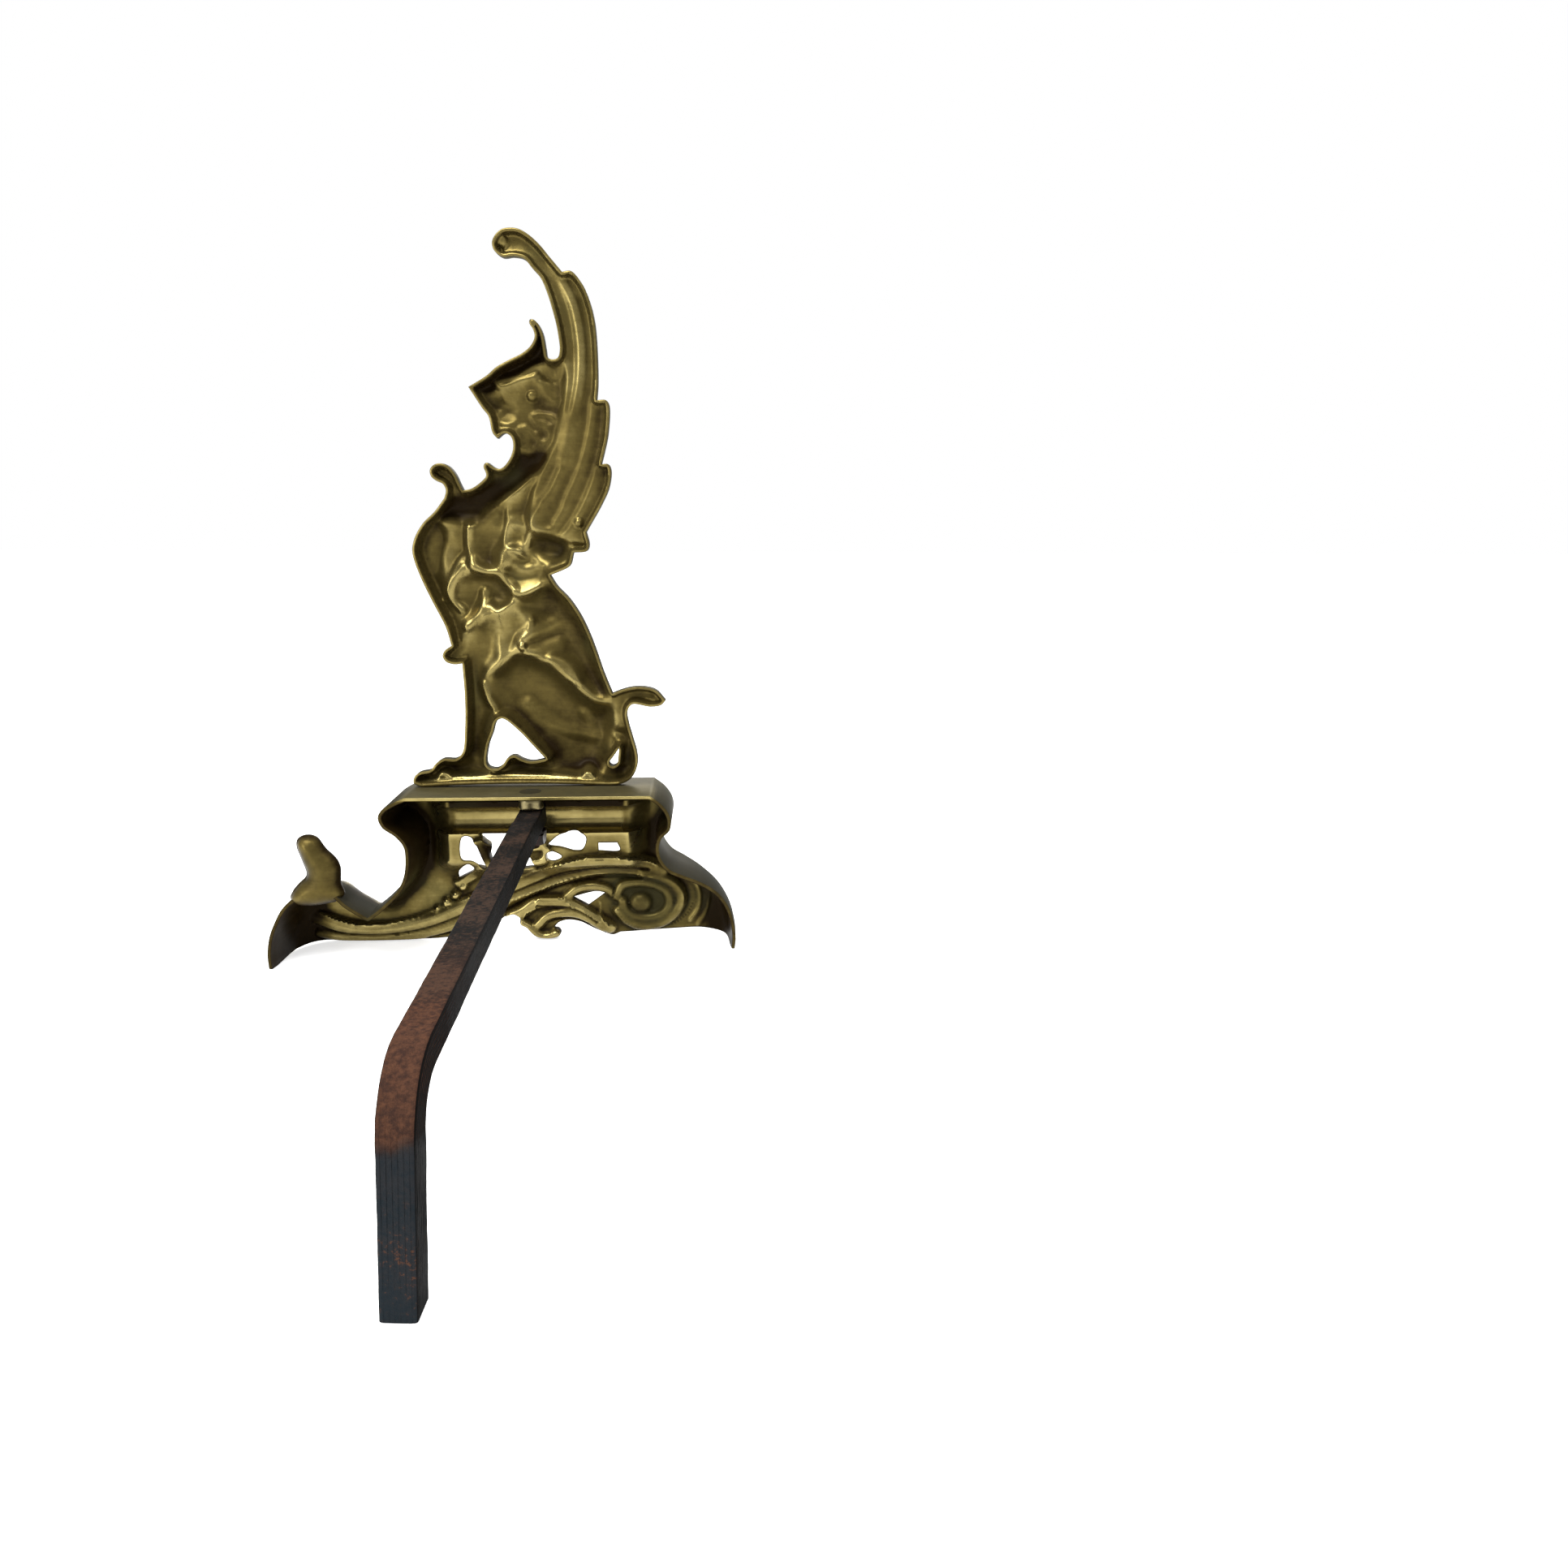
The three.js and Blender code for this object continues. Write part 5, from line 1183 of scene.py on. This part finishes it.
def bevelled(inner, outer, low, high, bevel):
    """The profile of a ring with small bevels."""
    return [
        (inner, low + bevel), (inner + bevel, low), (outer - bevel, low), (outer, low + bevel),
        (outer, high - bevel), (outer - bevel, high), (inner + bevel, high), (inner, high - bevel),
    ]


def span(node):
    """The lowest and highest height of a CAD node, in millimetres."""
    low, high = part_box(node)
    return low.z / MM, high.z / MM


def make_bolt(material):
    """The bolt. Its head is filed flush and has the shelf's skin, its lower end is black."""
    low, _ = span("bar_bolt")
    made = turned_mesh(
        "bolt",
        *lathe(
            [(0, low), (2.9, low), (3.6, low + 0.3), (4, low + 1), (4, SHELF - 2.6), (6.8, SHELF - 0.2),
             (6.7, SHELF + 0.04), (6, SHELF + 0.08), (0, SHELF + 0.08)],
            BOLT_X, BOLT_Y,
        ),
        material,
    )
    head = [float(corner.co.z > (SHELF - 1) * MM) for corner in made.vertices]
    for look, values in (("worn", [0.4 * at - 0.1 for at in head]), ("skin", head)):
        made.attributes.new(look, "FLOAT", "POINT").data.foreach_set("value", values)
    return made


def make_washer(material):
    profile = bevelled(HOLE_RADIUS, 8.6, *span("bolt_washer"), 0.3)
    return turned_mesh("washer", *lathe(profile, BOLT_X, BOLT_Y), material)


def make_collar(material):
    low, high = span("spacer_collar")
    profile = bevelled(HOLE_RADIUS, 7.7, low, high, 0.5)
    profile[4:4] = [(7.78, low + 1.9), (7.6, low + 3.1), (7.75, low + 4.3)]
    return turned_mesh("collar", *lathe(profile, BOLT_X, BOLT_Y), material, 60)


def make_nut(material):
    """A square nut whose lower corners are turned away."""
    half, turned_radius = 7.5, 8.6

    def square(radius, angle):
        if radius < 5:
            return radius
        flat = half / max(abs(math.cos(angle)), abs(math.sin(angle)))
        return min(flat, radius)

    low, high = span("bolt_nut")
    profile = [(HOLE_RADIUS, low + 0.5), (4.8, low), (turned_radius, low), (9.4, low + 0.9),
               (10.2, low + 2.4), (10.61, low + 3.8), (10.61, high - 0.4), (10.3, high), (4.8, high),
               (HOLE_RADIUS, high - 0.4)]
    return turned_mesh("nut", *lathe(profile, BOLT_X, BOLT_Y, 96, square), material, 25)


def make_screws(material):
    """The two screws that hold the figure down, copies of one."""
    seat = span("figure_screw_1")[0] + 2.2
    corners, faces = lathe(
        [(0, -2.2), (0.5, -2.2), (0.6, -1.5), (2, -2.15), (3, -1.75), (3.6, -0.95), (3.6, -0.1), (3.5, 0),
         (2, 0), (2, 9.8), (1, 10.8), (0, 10.8)],
        0, 0, 32,
    )
    screw = bpy.data.meshes.new("screw")
    screw.from_pydata((np.array(corners) * MM).tolist(), [], faces)
    pattern = bpy.data.objects.new("screw pattern", screw)
    bpy.context.collection.objects.link(pattern)
    places = bpy.data.meshes.new("screw places")
    spots = np.array([(x, FIGURE_Y + 5.2, seat) for x in SCREWS_X])
    places.from_pydata(in_frame(spots).tolist(), [], [])
    places.materials.append(material)
    tree = Tree("figure screws")
    pattern_input = tree.input("Screw", "NodeSocketObject", pattern)
    shape = tree.node("GeometryNodeObjectInfo", sockets={"Object": pattern_input}, output="Geometry")
    points = tree.node("GeometryNodeMeshToPoints", sockets={"Mesh": tree.start.outputs["Geometry"]})
    made = tree.node("GeometryNodeInstanceOnPoints", sockets={"Points": points, "Instance": shape})
    mesh = tree.apply("figure screws", places, made)
    bpy.data.objects.remove(pattern)
    finish_mesh(mesh, material, math.radians(35))
    return mesh


# ---------------------------------------------------------------- finishes


class Wire:
    """An output socket, with arithmetic that adds Math nodes."""

    def __init__(self, finish, socket):
        self.finish, self.socket = finish, socket

    def math(self, operation, *values, clamp=False):
        return self.finish.node(
            "ShaderNodeMath", {"operation": operation, "use_clamp": clamp}, dict(enumerate(values))
        )

    def __add__(self, other):
        return self.math("ADD", self, other)

    def __mul__(self, other):
        return self.math("MULTIPLY", self, other)

    def __sub__(self, other):
        return self.math("SUBTRACT", self, other)

    def __rsub__(self, other):
        return self.math("SUBTRACT", other, self)

    __radd__ = __add__
    __rmul__ = __mul__

    def clamped(self):
        return self.math("ADD", self, 0.0, clamp=True)


class Finish:
    """A material made of nodes, around one metal shader."""

    def __init__(self, name, world=False):
        self.material = (bpy.data.worlds if world else bpy.data.materials).new(name)
        self.material.use_nodes = True
        self.tree = self.material.node_tree
        self.tree.nodes.clear()

    def node(self, kind, settings=None, sockets=None, output=0):
        """One node: its settings, then the values or wires of its sockets, by name or place."""
        made = self.tree.nodes.new(kind)
        for key, value in (settings or {}).items():
            if key == "stops":
                self.set_stops(made.color_ramp, value)
            else:
                setattr(made, key, value)
        for key, value in (sockets or {}).items():
            if isinstance(value, Wire):
                self.tree.links.new(value.socket, made.inputs[key])
            else:
                made.inputs[key].default_value = value
        return Wire(self, made.outputs[output]) if made.outputs else None

    def set_stops(self, ramp, stops):
        while len(ramp.elements) < len(stops):
            ramp.elements.new(0.5)
        for element, (position, color) in zip(ramp.elements, stops):
            element.position, element.color = position, color

    def place(self, scale=(1, 1, 1), turn=(0, 0, 0)):
        """The piece's own coordinates, stretched and turned."""
        own = self.node("ShaderNodeTexCoord", output="Object")
        return self.node("ShaderNodeMapping", sockets={"Vector": own, "Scale": scale, "Rotation": turn})

    def noise(self, scale, detail=4.0, rough=0.55, vector=None, distortion=0.0):
        return self.node(
            "ShaderNodeTexNoise",
            sockets={
                "Vector": vector or self.place(),
                "Scale": float(scale),
                "Detail": float(detail),
                "Roughness": rough,
                "Distortion": distortion,
            },
        )

    def between(self, value, low, high):
        """Where a value lies from low to high, as 0 to 1."""
        easing = {"interpolation_type": "SMOOTHSTEP"}
        return self.node("ShaderNodeMapRange", easing, {0: value, 1: low, 2: high})

    def mix(self, share, first, second):
        """A colour between two."""
        return self.node("ShaderNodeMix", {"data_type": "RGBA"}, {0: share, 6: first, 7: second}, output=2)

    def bump(self, height, distance, strength=1.0, under=None):
        sockets = {"Height": height, "Distance": distance, "Strength": strength}
        if under:
            sockets["Normal"] = under
        return self.node("ShaderNodeBump", sockets=sockets)

    def metal(self, color, roughness, metallic, normal, specular=0.5):
        shader = self.node(
            "ShaderNodeBsdfPrincipled",
            sockets={
                "Base Color": color,
                "Roughness": roughness,
                "Metallic": metallic,
                "Normal": normal,
                "Specular IOR Level": specular,
            },
        )
        self.node("ShaderNodeOutputMaterial", sockets={"Surface": shader})
        return self.material

    def sees_backdrop(self):
        """1 for the rays that show the white background: the camera's, and those metal or glass sends on."""
        kinds = ("Camera", "Glossy", "Transmission")
        rays = [self.node("ShaderNodeLightPath", output=f"Is {kind} Ray") for kind in kinds]
        return (rays[0] + rays[1] + rays[2]).clamped()

    def attribute(self, name):
        return self.node("ShaderNodeAttribute", {"attribute_name": name}, output="Fac")


def aged_brass(colors):
    """Brass gone brown in its hollows and bright where hands and cloths reach; painted shade and a painted
    highlight, carried with the wear, also darken and brighten it.
    """
    f = Finish("aged brass")
    worn = f.attribute("worn")
    clouds = f.noise(38, 5, 0.6)
    grain = f.noise(240, 4, 0.6)
    streaks = f.noise(1, 4, 0.6, f.place((60, 60, 700), (0, 0.5, 0)))
    mottled_wear_and_shade = (worn + (clouds - 0.5) * 0.42 + (grain - 0.5) * 0.2 + (streaks - 0.5) * 0.1).clamped()
    brown = f.mix(f.between(mottled_wear_and_shade, 0.02, 0.5), tuple(colors.dirt_and_painted_shade), tuple(colors.patina))
    color = f.mix(f.between(mottled_wear_and_shade, 0.36, 0.92), brown, tuple(colors.brass))
    green = f.between(f.noise(17, 3, 0.5), 0.52, 0.72) * f.between(mottled_wear_and_shade, 0.75, 0.3)
    color = f.mix(green * 0.4, color, tuple(colors.verdigris))
    skin = f.attribute("skin") * (0.8 + 0.5 * (clouds - 0.5))
    color = f.mix(skin.clamped(), color, tuple(colors.skin))
    roughness = 0.36 - 0.16 * f.between(mottled_wear_and_shade, 0.25, 0.85) + 0.12 * (clouds - 0.5) + 0.1 * (grain - 0.5)
    roughness = roughness + 0.26 * skin
    metallic = (0.12 + 0.78 * f.between(mottled_wear_and_shade, 0.0, 0.6)) * (1 - 0.62 * skin.clamped())
    dents = f.bump(f.noise(95, 2, 0.5), 0.0004, 0.3)
    pits = f.bump(grain + 0.4 * streaks, 0.00012, 0.28, dents)
    return f.metal(color, roughness, metallic, pits, 0.03)


def pale_brass(colors):
    """Dull, dusty brass of the collar between bar and shelf."""
    f = Finish("pale brass")
    dust = f.noise(160, 4)
    rings = f.noise(1, 3, 0.5, f.place((40, 40, 2200)))
    dull, lit = (0.10, 0.085, 0.045, 1), tuple(colors.collar)
    color = f.mix(f.between(dust, 0.3, 0.7), dull, lit)
    normal = f.bump(rings + dust * 0.5, 0.0001, 0.4)
    return f.metal(color, 0.34 + 0.25 * (dust - 0.5), 1.0, normal)


def black_iron(colors):
    """Forged bar: black scale on top, blue-black below the bend and rust round it, its sides painted near
    black as shade.
    """
    f = Finish("black iron")
    along = f.attribute("along")
    clouds = f.noise(30, 5, 0.6)
    specks = f.noise(420, 5, 0.7)
    scratches = f.noise(1, 6, 0.7, f.place((900, 26, 900), (0, 0, 0.05)), 0.6)
    cross = f.noise(1, 5, 0.7, f.place((140, 700, 140), (0, 0, 0.35)), 0.8)
    scraped = f.between(scratches + 0.35 * cross, 0.78, 0.98)
    browned = f.between(clouds + 0.9 * (specks - 0.5), 0.4, 0.66)
    scale_skin = f.mix(browned, tuple(colors.iron), tuple(colors.iron_brown))
    scale_skin = f.mix(scraped * 0.5, scale_skin, (0.13, 0.10, 0.08, 1))
    edge = along + (clouds - 0.5) * 0.03 + (specks - 0.5) * 0.012
    rusty = 0.5 * f.between(edge, 0.215, 0.29) + 0.5 * f.between(edge, 0.288, 0.298)
    rusty = rusty * f.between(edge, 0.356, 0.349)
    rust = f.mix(f.between(specks, 0.3, 0.72), tuple(colors.rust_dark), tuple(colors.rust))
    color = f.mix(rusty * 0.86, scale_skin, rust)
    blue = f.between(edge, 0.348, 0.358)
    color = f.mix(blue * 0.8, color, tuple(colors.iron_blue))
    freckles = f.between(specks + 0.5 * (clouds - 0.5), 0.6, 0.7) * f.between(along, 0.36, 0.4)
    color = f.mix(freckles * 0.75, color, tuple(colors.rust))
    normal = f.node("ShaderNodeNewGeometry", output="Normal")
    side_for_painted_shade = f.node("ShaderNodeSeparateXYZ", sockets={0: normal}, output="X")
    # painted shade: the bar's sides, which face sideways, are coloured nearly black
    color = f.mix(0.96 * f.between(side_for_painted_shade * side_for_painted_shade, 0.3, 0.6), color, (0.003, 0.003, 0.003, 1))
    roughness = 0.6 + 0.26 * rusty - 0.16 * scraped + 0.2 * (specks - 0.5)
    hammered = f.bump(clouds + 0.5 * cross, 0.0009, 0.5)
    normal = f.bump(specks + 0.8 * scratches, 0.00035, 0.55, hammered)
    return f.metal(color, roughness, 0.04 - 0.04 * rusty, normal, 0.02)


def bolt_iron(colors):
    """Oily dark iron of the bolt, its washer and its nut."""
    f = Finish("bolt iron")
    stains = f.noise(130, 5, 0.6)
    color = f.mix(f.between(stains, 0.35, 0.7), tuple(colors.iron), tuple(colors.rust_dark))
    normal = f.bump(f.noise(700, 3), 0.0001, 0.4)
    return f.metal(color, 0.46 + 0.3 * (stains - 0.5), 0.85, normal)


def screw_steel(colors):
    """Grey steel of the screws under the shelf."""
    f = Finish("screw steel")
    stains = f.noise(300, 4, 0.6)
    color = f.mix(f.between(stains, 0.4, 0.75), (0.18, 0.17, 0.16, 1), tuple(colors.rust_dark))
    normal = f.bump(f.noise(1200, 2), 0.00006, 0.4)
    return f.metal(color, 0.42 + 0.3 * (stains - 0.5), 0.9, normal)


# ---------------------------------------------------------------- what a user would change


def size(name, description, millimetres):
    return bpy.props.FloatProperty(
        name=name,
        description=description,
        default=millimetres * MM,
        min=0.0,
        precision=4,
        subtype="DISTANCE",
        unit="LENGTH",
    )


def color(name, description, value):
    return bpy.props.FloatVectorProperty(
        name=name, description=description, default=(*value, 1), size=4, min=0, max=1, subtype="COLOR"
    )


class AndironSizes(bpy.types.PropertyGroup):
    rim: size("Figure rim", "Width of the flat rim round the figure's hollow back", 1.7)
    figure_wall: size("Figure wall", "Thickness of the figure casting", 2.2)
    base_wall: size("Base wall", "Thickness of the base casting", 2.2)
    bar_width: size("Bar width", "Square section of the billet bar", 14.3)
    bar_corner: size("Bar corner", "Rounding of the bar's worn corners", 1.3)
    hammering: size("Hammering", "Depth of the hammer marks on the bar", 0.5)


class AndironColors(bpy.types.PropertyGroup):
    brass: color("Rubbed brass", "Brass on ridges and rims", (0.345, 0.280, 0.108))
    patina: color("Patina", "Brown brass between ridge and hollow", (0.098, 0.073, 0.021))
    # this colour also carries the shade painted into deep hollows, under the figure's walls and on the
    # base's inner walls
    dirt_and_painted_shade: color("Crevice", "Dirt in the deepest creases", (0.012, 0.007, 0.002))
    verdigris: color("Green cast", "Thin greenish tarnish", (0.055, 0.053, 0.020))
    skin: color("Outer walls", "Grey-green skin of the shelf and the outer walls", (0.021, 0.0205, 0.0145))
    collar: color("Collar", "Dull brass of the spacer collar", (0.21, 0.175, 0.085))
    iron: color("Forge scale", "Black skin of the bar", (0.009, 0.0085, 0.008))
    iron_brown: color("Brown scale", "Brown tint in the bar's skin", (0.040, 0.025, 0.018))
    iron_blue: color("Blue iron", "Blue-black of the bar's leg", (0.013, 0.019, 0.024))
    rust: color("Rust", "Red-brown rust round the bend", (0.088, 0.039, 0.022))
    rust_dark: color("Dark rust", "Dark grains in the rust", (0.034, 0.018, 0.014))


class AndironStage(bpy.types.PropertyGroup):
    floor: color("Floor", "Colour of the floor", (0.88, 0.88, 0.87))
    key: bpy.props.FloatProperty(
        name="Key light", description="Power of the lamp above", default=26, unit="POWER"
    )
    fill: bpy.props.FloatProperty(
        name="Fill light", description="Power of the side lamp", default=9, unit="POWER"
    )
    lens: bpy.props.FloatProperty(
        name="Lens", description="Focal length of the camera", default=25.48, unit="CAMERA"
    )


# ---------------------------------------------------------------- operators


def settings():
    scene = bpy.context.scene
    return scene.andiron_sizes, scene.andiron_colors, scene.andiron_stage


def finish_of(name, make):
    """A finish that is made once and shared."""
    return bpy.data.materials.get(name) or make(settings()[1])


class BuildFigure(bpy.types.Operator):
    """Builds the hollow-backed casting of the seated winged beast"""

    bl_idname = "andiron.figure"
    bl_label = "Figure"

    def execute(self, context):
        mesh = make_figure(settings()[0], finish_of("aged brass", aged_brass))
        show("figure", mesh, "aged_brass", "figure_casting")
        return {"FINISHED"}


class BuildBase(bpy.types.Operator):
    """Builds the pierced scroll base with its shelf, toes and leaf"""

    bl_idname = "andiron.base"
    bl_label = "Base"

    def execute(self, context):
        mesh = make_base(settings()[0], finish_of("aged brass", aged_brass))
        show("base", mesh, "aged_brass", "base_casting")
        return {"FINISHED"}


class BuildBar(bpy.types.Operator):
    """Sweeps and hammers the billet bar that carries the logs"""

    bl_idname = "andiron.bar"
    bl_label = "Billet bar"

    def execute(self, context):
        mesh = make_bar(settings()[0], finish_of("black iron", black_iron))
        show("billet_bar_forged", mesh, "black_iron", "billet_bar")
        return {"FINISHED"}


class BuildFastening(bpy.types.Operator):
    """Builds the bolt that holds the bar, with its washer, nut and spacer collar"""

    bl_idname = "andiron.fastening"
    bl_label = "Bolt, washer, nut and collar"

    def execute(self, context):
        iron = finish_of("bolt iron", bolt_iron)
        show("bolt", make_bolt(finish_of("aged brass", aged_brass)), "aged_brass", "bar_bolt")
        show("washer", make_washer(iron), "bolt_iron", "bolt_washer")
        show("nut", make_nut(iron), "bolt_iron", "bolt_nut")
        show("collar", make_collar(finish_of("pale brass", pale_brass)), "pale_brass", "spacer_collar")
        return {"FINISHED"}


class BuildScrews(bpy.types.Operator):
    """Builds the two screws that hold the figure down"""

    bl_idname = "andiron.screws"
    bl_label = "Figure screws"

    def execute(self, context):
        mesh = make_screws(finish_of("screw steel", screw_steel))
        show("figure_screws", mesh, "screw_steel", "figure_screw_1", "figure_screw_2")
        return {"FINISHED"}


def floor_finish(color):
    """A pale floor that the camera sees nearly white and that keeps the object's shadow."""
    f = Finish("floor")
    lit = f.node("ShaderNodeBsdfDiffuse", sockets={"Color": tuple(color)})
    glow = f.sees_backdrop() * 0.66
    white = f.node("ShaderNodeEmission", sockets={"Color": (1, 1, 1, 1), "Strength": glow})
    surface = f.node("ShaderNodeAddShader", sockets={0: lit, 1: white})
    f.node("ShaderNodeOutputMaterial", sockets={"Surface": surface})
    return f.material


def lamp(name, place, aim, width, height, power):
    light = bpy.data.lights.new(name, "AREA")
    light.shape, light.size, light.size_y, light.energy = "RECTANGLE", width, height, power
    shown = bpy.data.objects.new(name, light)
    shown.location = place
    shown.rotation_euler = (Vector(aim) - Vector(place)).to_track_quat("-Z", "Y").to_euler()
    bpy.context.collection.objects.link(shown)
    return shown


def make_world():
    """White for the rays that show the background; soft light from above for the rest."""
    f = Finish("studio", world=True)
    up = f.node("ShaderNodeTexCoord", output="Generated")
    height = f.node("ShaderNodeSeparateXYZ", sockets={0: up}, output="Z")
    stops = [(0.0, 0.25), (0.45, 0.25), (0.55, 0.3), (0.8, 0.9), (1.0, 1.25)]
    stops = [(place, (value, value, value, 1)) for place, value in stops]
    room = f.node("ShaderNodeValToRGB", {"stops": stops}, {0: height * 0.5 + 0.5})
    light = f.node("ShaderNodeBackground", sockets={"Color": room, "Strength": 0.8})
    white = f.node("ShaderNodeBackground", sockets={"Color": (1, 1, 1, 1), "Strength": 1.0})
    seen = f.node("ShaderNodeMixShader", sockets={0: f.sees_backdrop(), 1: light, 2: white})
    f.node("ShaderNodeOutputWorld", sockets={0: seen})
    bpy.context.scene.world = f.material


class BuildStage(bpy.types.Operator):
    """Sets the floor, the lamps, the room and the camera"""

    bl_idname = "andiron.stage"
    bl_label = "Stage"

    def execute(self, context):
        stage = settings()[2]
        floor = bpy.data.meshes.new("floor")
        reach = 6
        corners = [(-reach, -reach, 0), (reach, -reach, 0), (reach, reach, 0), (-reach, reach, 0)]
        floor.from_pydata(corners, [], [(0, 1, 2, 3)])
        floor.materials.append(floor_finish(stage.floor))
        ground = bpy.data.objects.new("floor", floor)
        ground.location.z = -0.0005
        context.collection.objects.link(ground)
        middle = (0, 0, 0.2)
        lamps = [
            lamp("key", (-0.35, -0.5, 1.35), middle, 0.9, 0.6, stage.key),
            lamp("left fill", (-1.2, -0.9, 0.5), middle, 0.35, 1.0, stage.fill),
            lamp("right fill", (0.9, -0.3, 1.3), middle, 0.4, 0.8, stage.fill * 0.5),
            lamp("back", (0.3, 1.2, 0.9), middle, 0.9, 0.5, stage.fill * 1.2),
        ]
        make_world()
        eye = in_frame(np.array(EYE))
        camera = bpy.data.objects.new("camera", bpy.data.cameras.new("camera"))
        camera.data.lens = stage.lens
        camera.data.sensor_width = 36
        yaw = Matrix.Rotation(math.radians(TURN), 4, "Z")
        pitch = Matrix.Rotation(math.radians(90 + TILT), 4, "X")
        roll = Matrix.Rotation(math.radians(ROLL), 4, "Z")
        camera.matrix_world = Matrix.Translation(eye) @ yaw @ pitch @ roll
        context.collection.objects.link(camera)
        context.scene.camera = camera
        context.scene.view_settings.view_transform = "Standard"
        return {"FINISHED"}


class AndironPanel(bpy.types.Panel):
    """Lists the sizes, the colours and the pieces"""

    bl_idname = "VIEW3D_PT_andiron"
    bl_label = "Andiron"
    bl_space_type = "VIEW_3D"
    bl_region_type = "UI"
    bl_category = "Andiron"

    def draw(self, context):
        for group in settings():
            box = self.layout.box()
            for name in group.__annotations__:
                box.prop(group, name)
        for operator in OPERATORS:
            self.layout.operator(operator.bl_idname)


GROUPS = {"andiron_sizes": AndironSizes, "andiron_colors": AndironColors, "andiron_stage": AndironStage}
OPERATORS = (BuildFigure, BuildBase, BuildBar, BuildFastening, BuildScrews, BuildStage)


def register():
    for part in (*GROUPS.values(), *OPERATORS, AndironPanel):
        bpy.utils.register_class(part)
    for name, group in GROUPS.items():
        setattr(bpy.types.Scene, name, bpy.props.PointerProperty(type=group))


def unregister():
    for name in GROUPS:
        delattr(bpy.types.Scene, name)
    for part in (AndironPanel, *reversed(OPERATORS), *reversed(GROUPS.values())):
        bpy.utils.unregister_class(part)


def main():
    register()
    for operator in OPERATORS:
        group, name = operator.bl_idname.split(".")
        getattr(getattr(bpy.ops, group), name)()


if __name__ == "__main__":
    main()
